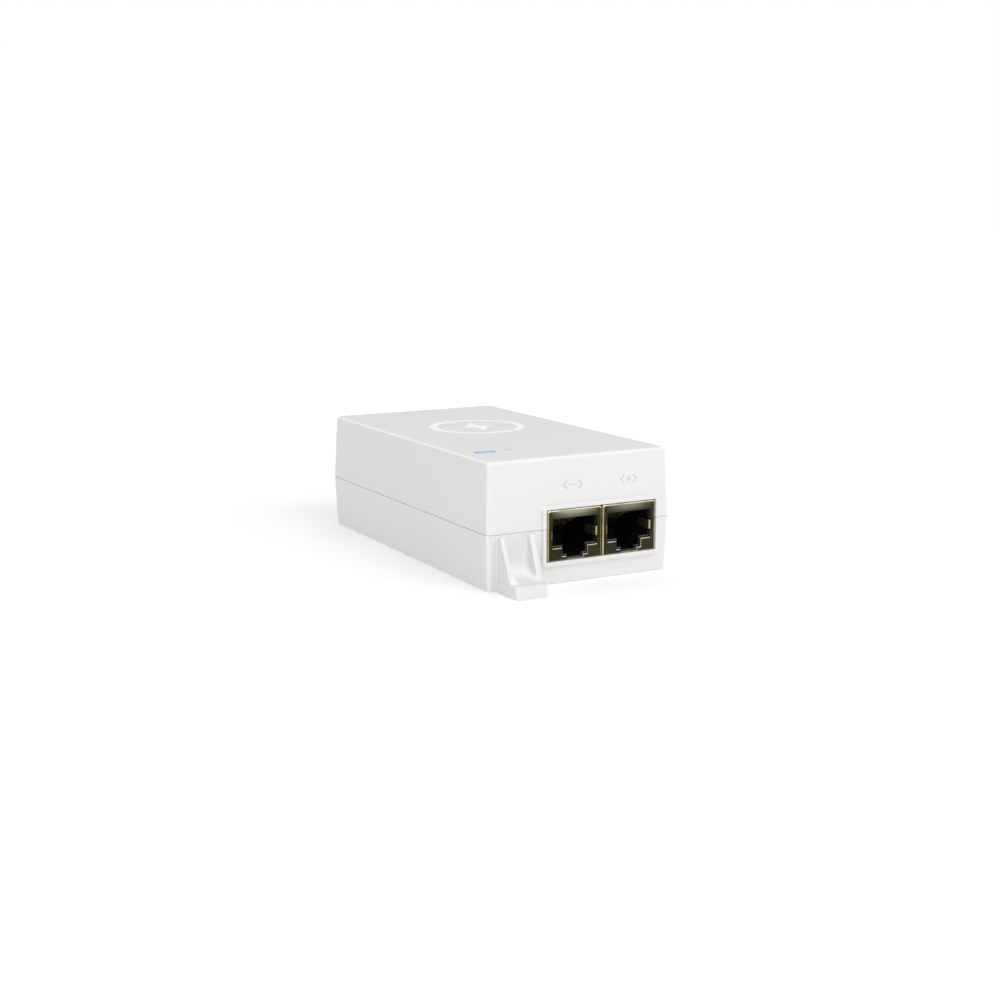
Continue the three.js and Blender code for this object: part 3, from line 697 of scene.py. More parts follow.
def base_shell():
    loops = [shell_ring(WALL, WALL, 0.5, base_lean(WALL)), shell_ring(SEAM - 1.5, WALL, 0.5, base_lean(SEAM - 1.5)), shell_ring(SEAM + LIP_H - 0.15, WALL, 0.5, 0)]
    loops.append(shell_ring(SEAM + LIP_H, WALL - 0.15, 0.5, 0))
    loops.append(shell_ring(SEAM + LIP_H, WALL - LIP + 0.2, 0.6, 0))
    loops.append(shell_ring(SEAM + LIP_H - 0.2, WALL - LIP, 0.6, 0))
    loops.append(shell_ring(SEAM + GAP - 0.006, WALL - LIP, 0.6, 0))
    loops.append(shell_ring(SEAM + GAP - 0.006, 0.36, R_CORNER - 0.36, 0))
    loops.append(shell_ring(SEAM - GAP, 0.33, R_CORNER - 0.33, 0))
    for i in range(5):
        a = math.pi / 2 * i / 4
        loops.append(shell_ring(SEAM - GAP - EDGE * (1 - math.cos(a)), EDGE * (1 - math.sin(a)), R_CORNER - EDGE * (1 - math.sin(a)), 0))
    for i in range(1, 5):
        z = (SEAM - 0.3) * (1 - i / 4) + 0.3 * (i / 4)
        loops.append(shell_ring(z, 0, R_CORNER, base_lean(z)))
    for i in range(1, 5):
        a = math.pi / 2 * i / 4
        k = 0.3 * (1 - math.cos(a))
        loops.append(shell_ring(0.3 - 0.3 * math.sin(a), k, R_CORNER - k, base_lean(0.15)))
    return loft("base_shell", loops)


def flat_rect(x, z, x0, x1, z0, z1, r):
    qx = np.abs(x - (x0 + x1) / 2) - (x1 - x0) / 2 + r
    qz = np.abs(z - (z0 + z1) / 2) - (z1 - z0) / 2 + r
    return np.sqrt(np.maximum(qx, 0) ** 2 + np.maximum(qz, 0) ** 2) + np.minimum(np.maximum(qx, qz), 0) - r


def meet(r, *fields):
    """Intersection whose edges are rounded by r."""
    s = sum(np.maximum(f + r, 0) ** 2 for f in fields)
    m = fields[0]
    for f in fields[1:]:
        m = np.maximum(m, f)
    return np.minimum(m + r, 0) + np.sqrt(s) - r


def bezel_half(upper):
    def field(x, y, z):
        outer = flat_rect(x, z, FRAME_X0 - BEZEL_RIM, FRAME_X1 + BEZEL_RIM, FRAME_Z0 - BEZEL_RIM, FRAME_Z1 + BEZEL_RIM, BEZEL_R)
        hole = -flat_rect(x, z, FRAME_X0, FRAME_X1, FRAME_Z0, FRAME_Z1, 0.12)
        d = meet(0.26, outer, hole, BEZEL_FACE - y)
        lean_in = np.where(z > SEAM, DRAFT_TOP * (z - SEAM) / (H - SEAM), DRAFT_BOTTOM * (SEAM - z) / SEAM)
        wall = np.maximum(-(L / 2) + lean_in - y + 0.004, hole - 0.0)
        d = round_union(d, wall, 0.16)
        cut = (SEAM + 0.035) - z if upper else z - (SEAM - 0.035)
        d = meet(0.05, d, cut)
        near = flat_rect(x, z, FRAME_X0 - BEZEL_RIM - 0.5, FRAME_X1 + BEZEL_RIM + 0.5, FRAME_Z0 - BEZEL_RIM - 0.5, FRAME_Z1 + BEZEL_RIM + 0.5, BEZEL_R)
        return np.maximum(np.maximum(d, near), y + 46.7)

    lo = (FRAME_X0 - BEZEL_RIM - 0.9, BEZEL_FACE - 0.3, SEAM - 0.1 if upper else FRAME_Z0 - BEZEL_RIM - 0.9)
    hi = (FRAME_X1 + BEZEL_RIM + 0.9, -46.4, FRAME_Z1 + BEZEL_RIM + 0.9 if upper else SEAM + 0.1)
    return surface_of("bezel", field, lo, hi, 0.14)


def flared(name, x0, x1, a0, a1, r, axis, face, depth, flare):
    """Cutter for an opening whose outer edge is rounded by flare. face is the outer surface, and depth runs inwards."""
    sgn = 1 if depth > 0 else -1
    loops = []
    stops = [(face - sgn * 2.0, flare + 0.0)] + [(face + sgn * flare * (1 - math.cos(math.pi / 2 * i / 5)), flare * (1 - math.sin(math.pi / 2 * i / 5))) for i in range(6)][:]
    stops.append((face + depth, 0.0))
    for t, grow in stops:
        out = rrect(x0 - grow, x1 + grow, a0 - grow, a1 + grow, r + grow, 8)
        if axis == "z":
            loops.append([(p[0], p[1], t) for p in out])
        else:
            loops.append([(p[0], t, p[1]) for p in out])
    return loft(name, loops)


def build_shells():
    top = top_shell()
    for x, y in SCREWS:
        boolean(top, tube("post", x, y, 2.9, 13.3, H - WALL + 0.4), "UNION")
    boolean(top, cuboid("rib", INLET_X - 14, INLET_X + 14, 41.75, 42.9, 26.75, H - WALL + 0.4), "UNION")
    boolean(top, cuboid("jacks", FRAME_X0 - 0.03, FRAME_X1 + 0.03, -60, -40, FRAME_Z0 - 0.03, FRAME_Z1 + 0.03))
    boolean(top, cuboid("inlet", INLET_X - INLET_W / 2 - 0.15, INLET_X + INLET_W / 2 + 0.15, 40, 60, INLET_Z - INLET_H / 2 - 0.15, INLET_Z + INLET_H / 2 + 0.15))
    boolean(top, flared("led", LED_X - LED_W / 2, LED_X + LED_W / 2, LED_Y - LED_D / 2, LED_Y + LED_D / 2, 0.6, "z", H, -6.0, 0.12))
    for x, y in SCREWS:
        boolean(top, tube("bore", x, y, 1.45, 10, 25, 24))
    tidy(top)
    top = join("top_cover_shell", [top, bezel_half(True)])

    base = base_shell()
    for x, y in SCREWS:
        boolean(base, tube("boss", x, y, 3.4, 1, 13.0), "UNION")
    for x, y in ((-22.6, -20), (22.6, -8), (-22.6, 10), (22.6, 22)):
        boolean(base, cuboid("rest", x - 1.6, x + 1.6, y - 4, y + 4, 1, 3.9), "UNION")
    boolean(base, cuboid("rib", INLET_X - 14, INLET_X + 14, 41.75, 42.9, 1, 6.5), "UNION")
    boolean(base, cuboid("jacks", FRAME_X0 - 0.03, FRAME_X1 + 0.03, -60, -40, FRAME_Z0 - 0.03, FRAME_Z1 + 0.03))
    boolean(base, cuboid("inlet", INLET_X - INLET_W / 2 - 0.15, INLET_X + INLET_W / 2 + 0.15, 40, 60, INLET_Z - INLET_H / 2 - 0.15, INLET_Z + INLET_H / 2 + 0.15))
    for x, y in SCREWS:
        loops = [[(x + r * math.cos(2 * math.pi * i / 48), y + r * math.sin(2 * math.pi * i / 48), z) for i in range(48)] for r, z in ((3.05, -1.0), (3.05, 0.0), (2.95, 0.05), (2.82, 0.15), (2.75, 0.3), (2.75, 5.4))]
        boolean(base, loft("recess", loops))
        boolean(base, tube("bore", x, y, 1.55, 0, 20, 24))
    tidy(base)
    front = surface_of("ear", ear_field, (EAR_X0 - 2.8, EAR_Y - 0.4, -0.4), (EAR_X1 + 2.8, -46.6, SEAM + 0.2), 0.155)
    rear = bpy.data.objects.new("ear_rear", front.data.copy())
    scene.collection.objects.link(rear)
    rear.data.transform(Matrix.Rotation(math.pi, 4, "Z"))
    base = join("bottom_case_shell", [base, front, rear, bezel_half(False)])
    settle(top, WHITE, replaces=("top_cover",), sharp=38)
    settle(base, WHITE, replaces=("bottom_case",), sharp=38)


build_shells()


# ------------------------------------------------------------------ light pipe and its emitter


def build_light_pipe():
    loops = []
    x0, x1, y0, y1 = LED_X - LED_W / 2 + 0.06, LED_X + LED_W / 2 - 0.06, LED_Y - LED_D / 2 + 0.06, LED_Y + LED_D / 2 - 0.06
    for z in (8.0, 14.0, 22.0, 28.0, 31.0):
        loops.append([(x, y, z) for x, y in rrect(x0, x1, y0, y1, 0.55, 8)])
    for i in range(6):
        a = math.pi / 2 * i / 5
        k = 0.16 * (1 - math.cos(a))
        loops.append([(x, y, H - 0.2 + 0.16 * math.sin(a)) for x, y in rrect(x0 + k, x1 - k, y0 + k, y1 - k, 0.55 - k, 8)])
    pipe = loft("light_pipe_bar", loops)
    flange = loft("flange", [[(x, y, z) for x, y in rrect(LED_X - 4.2 + k, LED_X + 3.9 - k, LED_Y - 2.1 + k, LED_Y + 2.1 - k, 0.5, 6)] for z, k in ((28.4, 0.15), (28.55, 0), (29.45, 0), (29.6, 0.15))])
    boolean(pipe, flange, "UNION")
    settle(pipe, BLUE, replaces=("light_pipe",))
    z = ON_BOARD
    body = loft("status_led_body", [[(x, y, zz) for x, y in rrect(LED_X - 1.75 + k, LED_X + 1.75 - k, LED_Y - 1.4 + k, LED_Y + 1.4 - k, 0.15, 3)] for zz, k in ((z, 0.0), (z + 0.9, 0.0), (z + 1.0, 0.1))])
    dome = turned("dome", LED_X, LED_Y, [(0, z + 0.9)] + [(1.15 * math.cos(a), z + 0.95 + 0.65 * math.sin(a)) for a in [math.pi / 2 * i / 8 for i in range(9)]], 32)
    settle(join("status_led_body", [body, dome]), LED, replaces=("status_led",))


build_light_pipe()

# ------------------------------------------------------------------ jacks


def round_outline(points, r, n=4):
    """Rounds each corner of a closed outline by r."""
    out = []
    k = len(points)
    for i in range(k):
        a, b, c = (Vector(points[(i - 1) % k]), Vector(points[i]), Vector(points[(i + 1) % k]))
        u, v = (a - b), (c - b)
        q = min(r, u.length * 0.48, v.length * 0.48)
        p0, p2 = b + u.normalized() * q, b + v.normalized() * q
        for j in range(n + 1):
            t = j / n
            p = p0 * (1 - t) ** 2 + b * (2 * t * (1 - t)) + p2 * t * t
            out.append((p.x, p.y))
    return out


def stepped(xc, half, z0, z1, n1, zn1, n2, zn2, tab=None):
    """Jack opening seen from the front: a wide mouth over two narrowing steps, with room for the tabs at its sides."""
    pts = [(half, z1)]
    if tab:
        w, t0, t1 = tab
        pts += [(half, t1), (w, t1), (w, t0), (half, t0)]
    pts += [(half, z0), (n1, z0), (n1, zn1), (n2, zn1), (n2, zn2)]
    return [(xc + x, z) for x, z in pts] + [(xc - x, z) for x, z in reversed(pts)]


def build_shield(name, xc):
    x0, x1 = xc - JACK_W / 2, xc + JACK_W / 2
    z0, z1, back = JACK_Z0, JACK_Z1, JACK_FACE + JACK_DEPTH
    fold = 0.5

    def ring(y, k, r):
        rr = max(r, 0.03)
        return [(x, y, z) for x, z in rrect(x0 + k, x1 - k, z0 + 0.3 * k, z1 - k, [0.12, 0.12, rr, rr], 6)]

    loops = []
    for i in range(7):
        a = math.pi / 2 * i / 6
        loops.append(ring(JACK_FACE + fold * (1 - math.cos(a)), fold * (1 - math.sin(a)), 0.45))
    loops += [ring(JACK_FACE + t, 0, 0.45) for t in (3, 9, 15)]
    loops += [ring(back - 0.2, 0, 0.45), ring(back - 0.06, 0.06, 0.42), ring(back, 0.2, 0.3)]
    shell = loft(f"{name}_shield_sheet", loops)

    def inner(y, k):
        return [(x, y, z) for x, z in rrect(x0 + SHEET + k, x1 - SHEET - k, z0 - 1.0, z1 - SHEET - k, [0, 0, 0.15, 0.15], 4)]

    inside = [inner(JACK_FACE + SHEET + 0.16 * (1 - math.cos(math.pi / 2 * i / 3)), 0.16 * (1 - math.sin(math.pi / 2 * i / 3))) for i in range(4)]
    inside.append(inner(back - SHEET, 0))
    # equal point counts: every loop has the same corner radii, so the same number of points
    boolean(shell, loft("inner", inside))

    def mouth(y, k):
        out = stepped(xc, CUT_HALF + k, CUT_Z0 - k, CUT_Z1 + k, NOTCH1_HALF + k, NOTCH1_Z - k, NOTCH2_HALF + k, NOTCH2_Z - k, (CUT_HALF + 0.42 + k, TAB_Z0 - 0.22 - k, TAB_Z1 + 0.22 + k))
        return [(x, y, z) for x, z in round_outline(out, 0.16, 3)]

    # the punched mouth, with its outer edge rounded
    soft = 0.20
    cutter = [mouth(JACK_FACE - 1, soft)] + [mouth(JACK_FACE + soft * (1 - math.cos(math.pi / 2 * i / 4)), soft * (1 - math.sin(math.pi / 2 * i / 4))) for i in range(5)]
    boolean(shell, loft("cut", cutter + [mouth(JACK_FACE + 1.2, 0.0)]))
    tidy(shell, dist=1e-4, angle=0.3)
    settle(shell, SHIELD, replaces=(f"{name}_shield",), sharp=40)
    # painted highlight and shade: the top folds and the low cut edges that face up take the bright copy, as if lit from
    # above, the other folds and low cut edges take the darker copy, and the remaining cut edges and the flat front keep
    # the near-black nickel material
    me = shell.data
    me.materials.append(SHIELD_EDGE_LIT)
    me.materials.append(SHIELD_EDGE_SHADED)
    for p in me.polygons:
        c, nrm = p.center / MM, p.normal
        if c.y > JACK_FACE + 0.75 or abs(nrm.y) > 0.985:
            continue
        if c.z > z1 - 0.55:
            p.material_index = 1 if nrm.z > 0.15 else 2
        elif c.x < x0 + 0.55 or c.x > x1 - 0.55:
            p.material_index = 2
        elif c.z < z0 + 0.2 and nrm.z < -0.1:
            p.material_index = 2
        elif c.z < CUT_Z0 + 0.3 and c.y < JACK_FACE + SHEET and (nrm.z > 0.15 or nrm.x < -0.45):
            p.material_index = 1 if nrm.z > 0.15 and c.z > NOTCH2_Z + 0.3 else 2


def build_housing(name, xc):
    x0, x1 = xc - JACK_W / 2, xc + JACK_W / 2
    back = JACK_FACE + JACK_DEPTH
    f, r = JACK_FACE + SHEET + 0.15, back - SHEET - 0.15
    body = cuboid(f"{name}_insert", x0 + SHEET + 0.15, x1 - SHEET - 0.15, f, r, JACK_Z0 + 0.05, JACK_Z1 - SHEET - 0.15)
    half = 6.1
    boolean(body, cuboid("c", xc - half, xc + half, f - 1, r + 1, 9.65, 16.35))
    boolean(body, cuboid("c", xc - half, xc + half, f + 1.4, r + 1, 15.35, 17.85))
    boolean(body, cuboid("c", xc - 3.25, xc + 3.25, f - 1, -36.0, 7.4, 10.15))
    boolean(body, cuboid("c", xc - 2.05, xc + 2.05, f - 1, -36.0, 6.5, 8.0))
    boolean(body, cuboid("c", xc - 8, xc + 8, f - 1, -43.2, TAB_Z0 - 0.25, TAB_Z1 + 0.25))
    tidy(body, dist=1e-4, angle=0.3)
    bevel(body, 0.15, 3, angle=45, clamp=False)
    settle(body, INSERT, replaces=(f"{name}_housing",), sharp=40)
    # painted highlight: the moulded front edges of the two steps that face up and forward get a lighter grey copy of
    # the black plastic, as if they caught the light
    body.data.materials.append(INSERT_EDGE_LIT)
    for p in body.data.polygons:
        c, nrm = p.center / MM, p.normal
        if c.y < f + 0.25 and c.z < 10.0 and 0.2 < nrm.z < 0.98 and nrm.y < -0.1:
            p.material_index = 1

    roof = cuboid(f"{name}_carrier", xc - 5.9, xc + 5.9, -45.6, -31.2, 17.0, 17.65)
    boolean(roof, cuboid("c", xc - 5.9, xc + 5.9, -34.3, -31.2, 9.85, 17.3), "UNION")
    # channels that the free ends of the wires move in
    for i in range(8):
        x = xc + (3.5 - i) * 1.016
        boolean(roof, cuboid("c", x - 0.33, x + 0.33, -36.0, -33.2, 10.6, 16.4))
    tidy(roof, dist=1e-4, angle=0.3)
    bevel(roof, 0.07, 2, angle=45, clamp=False)
    settle(roof, INSERT, replaces=(f"{name}_contact_carrier",), sharp=40)


def build_contacts(name, xc):
    wires = []
    for i in range(8):
        x = xc + (3.5 - i) * 1.016
        path = smooth_path([(x, -45.35, 16.55), (x, -45.0, 16.5), (x, -43.2, 15.62), (x, -36.4, 12.25), (x, -35.5, 12.25)], r=0.5)
        wires.append(sweep("w", path, (1, 0, 0), 0.46, 0.28))
    settle(join(f"{name}_contact_wires", wires), GOLD, body=f"{name}_contacts", replaces=tuple(f"{name}_contact_{i + 1}" for i in range(8)), sharp=50)


def build_tabs(name, xc):
    for side, label in ((-1, "left"), (1, "right")):
        path = smooth_path([(xc + side * 6.6, -48.1, 12.425), (xc + side * 6.3, -47.7, 12.425), (xc + side * 5.7, -43.9, 12.425), (xc + side * 5.85, -43.5, 12.425)], r=0.4)
        tab = sweep(f"{name}_tab_spring_{label}", path, (0, 0, 1), TAB_Z1 - TAB_Z0, 0.18, taper=lambda t: 1 - 0.28 * max(0.0, (t - 0.8) / 0.2) ** 1.5)
        settle(tab, BRASS if side > 0 else BRASS_DIM, body=f"{name}_tab_{label}", replaces=(f"{name}_ground_tab_{label}",), sharp=50)


for _name, _xc in JACKS:
    build_shield(_name, _xc)
    build_housing(_name, _xc)
    build_contacts(_name, _xc)
    build_tabs(_name, _xc)

# ------------------------------------------------------------------ mains inlet


def build_inlet():
    cx, cz = INLET_X, INLET_Z

    def ring(y, k, r):
        return [(x, y, z) for x, z in rrect(cx - INLET_W / 2 + k, cx + INLET_W / 2 - k, cz - INLET_H / 2 + k, cz + INLET_H / 2 - k, r, 8)]

    loops = [ring(INLET_BACK, 0.3, 0.9), ring(INLET_BACK + 0.3, 0, 1.2), ring(36, 0, 1.2), ring(42, 0, 1.2)]
    for i in range(6):
        a = math.pi / 2 * i / 5
        k = 0.5 * (1 - math.cos(a))
        loops.append(ring(INLET_FACE - 0.5 + 0.5 * math.sin(a), k, 1.2 - k))
    body = loft("ac_inlet_body", loops)
    flange = loft("flange", [[(x, y, z) for x, z in rrect(cx - 15.3 + k, cx + 15.3 - k, cz - 11.3 + k, cz + 11.3 - k, 1.0, 6)] for y, k in ((43.2, 0.2), (43.4, 0), (44.8, 0), (45.0, 0.2))])
    boolean(body, flange, "UNION")
    w, h, c = SOCKET_W / 2, SOCKET_H / 2, SOCKET_CUT
    outline = [(cx - w, cz - h), (cx + w, cz - h), (cx + w, cz + h - c), (cx + w - c, cz + h), (cx - w + c, cz + h), (cx - w, cz + h - c)]

    def grown(g):
        pts = []
        for x, z in outline:
            pts.append((cx + (x - cx) * (1 + g / w), cz + (z - cz) * (1 + g / h)))
        return round_outline(pts, 1.1, 6)

    loops = []
    for y, g in [(INLET_FACE + 2, 0.45)] + [(INLET_FACE - 0.45 * (1 - math.cos(math.pi / 2 * i / 5)), 0.45 * (1 - math.sin(math.pi / 2 * i / 5))) for i in range(6)] + [(INLET_FACE - SOCKET_DEPTH, 0.0)]:
        loops.append([(x, y, z) for x, z in grown(g)])
    boolean(body, loft("socket", loops))
    for dx, dz in ((-7, -2), (7, -2), (0, 2)):
        boolean(body, cuboid("c", cx + dx - 1.12, cx + dx + 1.12, 20, 35, cz + dz - 2.12, cz + dz + 2.12))
    tidy(body, dist=1e-4, angle=0.2)
    settle(body, INLET, replaces=("ac_inlet_housing",), sharp=38)
    for label, dx, dz in (("line", -7, -2), ("neutral", 7, -2), ("earth", 0, 2)):
        x, z, tip = cx + dx, cz + dz, INLET_FACE - 3.6
        loops = []
        for y, kx, kz in ((25.4, 0, 0), (33.0, 0, 0), (40.0, 0, 0), (tip - 1.3, 0, 0), (tip - 0.8, 0.12, 0.22), (tip - 0.35, 0.38, 0.62), (tip - 0.1, 0.58, 0.95), (tip, 0.72, 1.15)):
            loops.append([(px, y, pz) for px, pz in rrect(x - 1 + kx, x + 1 - kx, z - 2 + kz, z + 2 - kz, 0.22, 4)])
        pin = loft(f"ac_blade_{label}", loops)
        leg = prism("leg", rrect(x - 0.98, x + 0.98, 25.4, 26.6, 0.12, 3), "z", ON_BOARD, z)
        boolean(pin, leg, "UNION")
        settle(pin, TIN, replaces=(f"ac_pin_{label}",), sharp=40)


build_inlet()

# ------------------------------------------------------------------ case screws


def build_screws():
    for i, (x, y) in enumerate(SCREWS):
        prof = [(0, 3.42), (0.7, 3.44), (1.4, 3.52), (1.95, 3.70), (2.28, 4.0), (2.4, 4.35), (2.4, 4.95), (2.32, 5.08), (1.2, 5.1), (1.2, 5.6)]
        z = 5.9
        while z < 19.6:
            prof += [(1.02, z), (1.38, z + 0.32), (1.38, z + 0.42), (1.02, z + 0.74)]
            z += 1.15
        prof += [(0.9, 20.4), (0, 21.5)]
        screw = turned(f"case_screw_body_{i + 1}", x, y, prof, 32)
        turn = math.radians(20 + 37 * i)
        for k in (0, 1):
            a = turn + k * math.pi / 2
            c, s = math.cos(a), math.sin(a)
            top = [(x + c * u - s * v, y + s * u + c * v) for u, v in ((-1.45, -0.26), (1.45, -0.26), (1.45, 0.26), (-1.45, 0.26))]
            deep = [(x + c * u - s * v, y + s * u + c * v) for u, v in ((-0.55, -0.16), (0.55, -0.16), (0.55, 0.16), (-0.55, 0.16))]
            boolean(screw, loft("cross", [[(p[0], p[1], 3.0) for p in top], [(p[0], p[1], 3.45) for p in top], [(p[0], p[1], 4.55) for p in deep]]))
        settle(screw, STEEL, replaces=(f"case_screw_{i + 1}",), sharp=40)


build_screws()

# ------------------------------------------------------------------ printed marks

def flat_stroke(points, half, closed=False):
    """Outline pairs of a stroke of even width."""
    pts = [Vector(p) for p in points]
    n = len(pts)
    left, right = [], []
    for i, p in enumerate(pts):
        a = pts[(i - 1) % n] if closed or i else p
        b = pts[(i + 1) % n] if closed or i < n - 1 else p
        d = (b - a).normalized()
        nrm = Vector((-d.y, d.x))
        left.append(p + nrm * half)
        right.append(p - nrm * half)
    return left, right


def stroke_solid(points, half, depth, closed=False, caps=True):
    """A thin raised stroke in the XY plane, from z = 0 to depth."""
    if not closed and len(points) == 2:
        a, b = Vector(points[0]), Vector(points[1])
        d = (b - a).normalized()
        base = math.atan2(d.y, d.x)
        out = []
        for c, off in ((b, -90), (a, 90)):
            for k in range(7):
                t = base + math.radians(off + 30 * k)
                out.append((c.x + half * math.cos(t), c.y + half * math.sin(t)))
        return loft("s", [[(x, y, -0.02) for x, y in out], [(x, y, depth) for x, y in out]])
    left, right = flat_stroke(points, half, closed)
    loops = [[(l.x, l.y, -0.02), (l.x, l.y, depth), (r.x, r.y, depth), (r.x, r.y, -0.02)] for l, r in zip(left, right)]
    return loft("s", loops, closed=closed)


def rounded_line(a, b, half, depth):
    return stroke_solid([a, b], half, depth)


def disc(c, r, depth):
    out = [(c[0] + r * math.cos(2 * math.pi * i / 24), c[1] + r * math.sin(2 * math.pi * i / 24)) for i in range(24)]
    return loft("s", [[(x, y, -0.02) for x, y in out], [(x, y, depth) for x, y in out]])


def bolt(c, k, depth):
    pts = [(1.9, 7.6), (-4.4, -0.9), (-0.9, -0.9), (-1.9, -7.6), (4.4, 0.9), (0.9, 0.9)]
    out = round_outline([(c[0] + x * k, c[1] + y * k) for x, y in pts], 0.5 * k, 4)
    return loft("bolt", [[(x, y, -0.02) for x, y in out], [(x, y, depth) for x, y in out]])


def chevrons(cx, cz, half_width, half_height, arm, half):
    """A pair of angle brackets, the common sign for a network socket."""
    out = []
    for s in (-1, 1):
        tip = (cx + s * half_width, cz)
        for k, u in enumerate((-1, 1)):
            out.append(rounded_line(tip, (cx + s * (half_width - arm), cz + u * half_height), half, 0.012 + 0.002 * k))
    return out


def printed(name, pieces, place, material):
    """Joins flat strokes and lays them on a face. place maps (u, v, w) of the print to the object."""
    o = join(name, pieces)
    for v in o.data.vertices:
        v.co = place(v.co.x, v.co.y, v.co.z)
    bm = bmesh.new()
    bm.from_mesh(o.data)
    bmesh.ops.recalc_face_normals(bm, faces=bm.faces)
    bm.to_mesh(o.data)
    bm.free()
    return settle(o, material, sharp=30)


def on_front(u, v, w):
    return Vector((u, -(L / 2 - top_lean(v)) - w, v))


def on_roof(u, v, w):
    return Vector((u, v, H + w))


# signs in place of words: a network socket, a powered network socket and an on sign
printed("print_network_sign", chevrons(-2.3, 24.7, 2.7, 0.95, 1.1, 0.17) + [disc((-2.3 + u, 24.7), 0.27, 0.012) for u in (-0.95, 0.0, 0.95)], on_front, PRINT_GREY)
printed("print_powered_network_sign", chevrons(14.15, 24.7, 2.35, 0.95, 1.0, 0.17) + [bolt((14.15, 24.7), 0.15, 0.012)], on_front, PRINT_GREY)


def on_sign(cx, cy, r, half):
    """Open ring with an upright stroke in its gap: the general sign for on."""
    pts = [(cx + r * math.sin(math.radians(a)), cy + r * math.cos(math.radians(a))) for a in range(38, 323, 8)]
    return [stroke_solid(pts, half, 0.012), rounded_line((cx, cy + 0.15), (cx, cy + r + 0.15), half, 0.012)]


printed("print_on_sign", on_sign(-12.1, -31.9, 0.92, 0.15), on_roof, PRINT_DARK)


def motif():
    """A plain ring round a simple bolt: the general sign for electric power."""
    cx, cy, r, half = 0.0, 7.5, 12.2, 0.95
    ring = [(cx + r * math.cos(2 * math.pi * i / 96), cy + r * math.sin(2 * math.pi * i / 96)) for i in range(96)]
    printed("print_power_sign", [stroke_solid(ring, half, 0.014, closed=True), bolt((cx, cy), 1.0, 0.014)], on_roof, PRINT_GLOSS)


motif()

# ------------------------------------------------------------------ inside the case

NODE_LOOK = {
    "main_board": (BOARD, 0.08), "insulation_sheet": (FILM, 0.05),
    "input_fuse": (EPOXY, 0.2), "inrush_thermistor": (NTC, 0.7), "x_capacitor": (FILMCAP, 0.6),
    "choke_core": (FERRITE, 0.35),
    "bridge_rectifier": (EPOXY, 0.3), "y_capacitor": (DISC, 0.8), "bulk_capacitor": (SLEEVE, 0.2),
    "primary_heatsink": (ALU, 0.15), "switching_transistor": (EPOXY, 0.25), "transformer_core": (FERRITE, 0.4),
    "transformer_winding": (TAPE, 0.4), "pwm_controller": (EPOXY, 0.15), "optocoupler": (EPOXY, 0.2),
    "output_capacitor_1": (SLEEVE, 0.2), "output_capacitor_2": (SLEEVE, 0.2), "secondary_heatsink": (ALU, 0.15),
    "output_rectifier": (EPOXY, 0.25), "lan_magnetics": (EPOXY, 0.3),
}


def dress(name, material, width):
    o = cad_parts[name]
    o.data.materials.clear()
    o.data.materials.append(material)
    m = o.modifiers.new("softened edges", "BEVEL")
    m.width = width * MM
    m.segments = 3
    m.limit_method = "ANGLE"
    m.angle_limit = math.radians(40)
    m.harden_normals = False


for _n, (_m, _w) in NODE_LOOK.items():
    dress(_n, _m, _w)



def wire(name, path, r, sides=10):
    """Round wire along a path; upright stretches keep the side that faces -X."""
    pts = [Vector(p) for p in path]
    loops = []
    for i, p in enumerate(pts):
        t = (pts[min(i + 1, len(pts) - 1)] - pts[max(i - 1, 0)]).normalized()
        n = t.cross(Vector((0, 0, 1)))
        n = Vector((-1, 0, 0)) if n.length < 0.05 else n.normalized()
        b = t.cross(n).normalized()
        loops.append([tuple(p + n * (r * math.cos(2 * math.pi * k / sides)) + b * (r * math.sin(2 * math.pi * k / sides))) for k in range(sides)])
    return loft(name, loops)


def choke_coil(label, x):
    """Turns of enamelled wire round one leg of the choke core, with the lead going down to the board."""
    out = rrect(x - 2.6, x + 2.6, 14.1, 21.9, 1.3, 5)
    steps = [math.dist(out[i], out[(i + 1) % len(out)]) for i in range(len(out))]
    total, turns, pitch, z0 = sum(steps), 7, 0.9, ON_BOARD + 5.15
    path = [(out[0][0], out[0][1], ON_BOARD - 0.2), (out[0][0], out[0][1], z0 - 0.5)]
    run = 0.0
    for k in range(turns * len(out) + 1):
        path.append((*out[k % len(out)], z0 + pitch * run / total))
        run += steps[k % len(out)]
    settle(wire(f"choke_coil_{label}", path, 0.43), COPPER, replaces=(f"choke_winding_{label}",), sharp=50)


choke_coil(1, 2.25)
choke_coil(2, 15.75)


def capacitor_trim(name, x, y, r, h, facing):
    """Vented metal top and pale polarity stripe of a can capacitor."""
    top = turned(f"{name}_top", x, y, [(0, ON_BOARD + h - 0.05), (r - 1.0, ON_BOARD + h - 0.05), (r - 1.0, ON_BOARD + h + 0.10), (r - 1.15, ON_BOARD + h + 0.2), (0, ON_BOARD + h + 0.2)], 64)
    for k in range(3):
        a = math.radians(90 + 120 * k)
        c, s = math.cos(a), math.sin(a)
        q = [(x + c * u - s * v, y + s * u + c * v) for u, v in ((-0.1, -0.12), (r - 1.9, -0.12), (r - 1.9, 0.12), (-0.1, 0.12))]
        boolean(top, prism("vent", q, "z", ON_BOARD + h + 0.08, ON_BOARD + h + 1))
    settle(top, ALU, sharp=40)
    arc = [math.radians(facing - 20 + 4 * k) for k in range(11)]
    ring = [(x + (r + 0.03) * math.cos(a), y + (r + 0.03) * math.sin(a)) for a in arc] + [(x + (r - 0.1) * math.cos(a), y + (r - 0.1) * math.sin(a)) for a in reversed(arc)]
    settle(prism(f"{name}_stripe", ring, "z", ON_BOARD + r * 0.36, ON_BOARD + h - 0.75), STRIPE, sharp=30)


capacitor_trim("bulk_capacitor", -13.4, -0.8, 8.0, 22.0, 200)
capacitor_trim("output_capacitor_1", -17.2, -14.6, 5.0, 16.0, 30)
capacitor_trim("output_capacitor_2", -17.2, -25.4, 5.0, 16.0, -40)


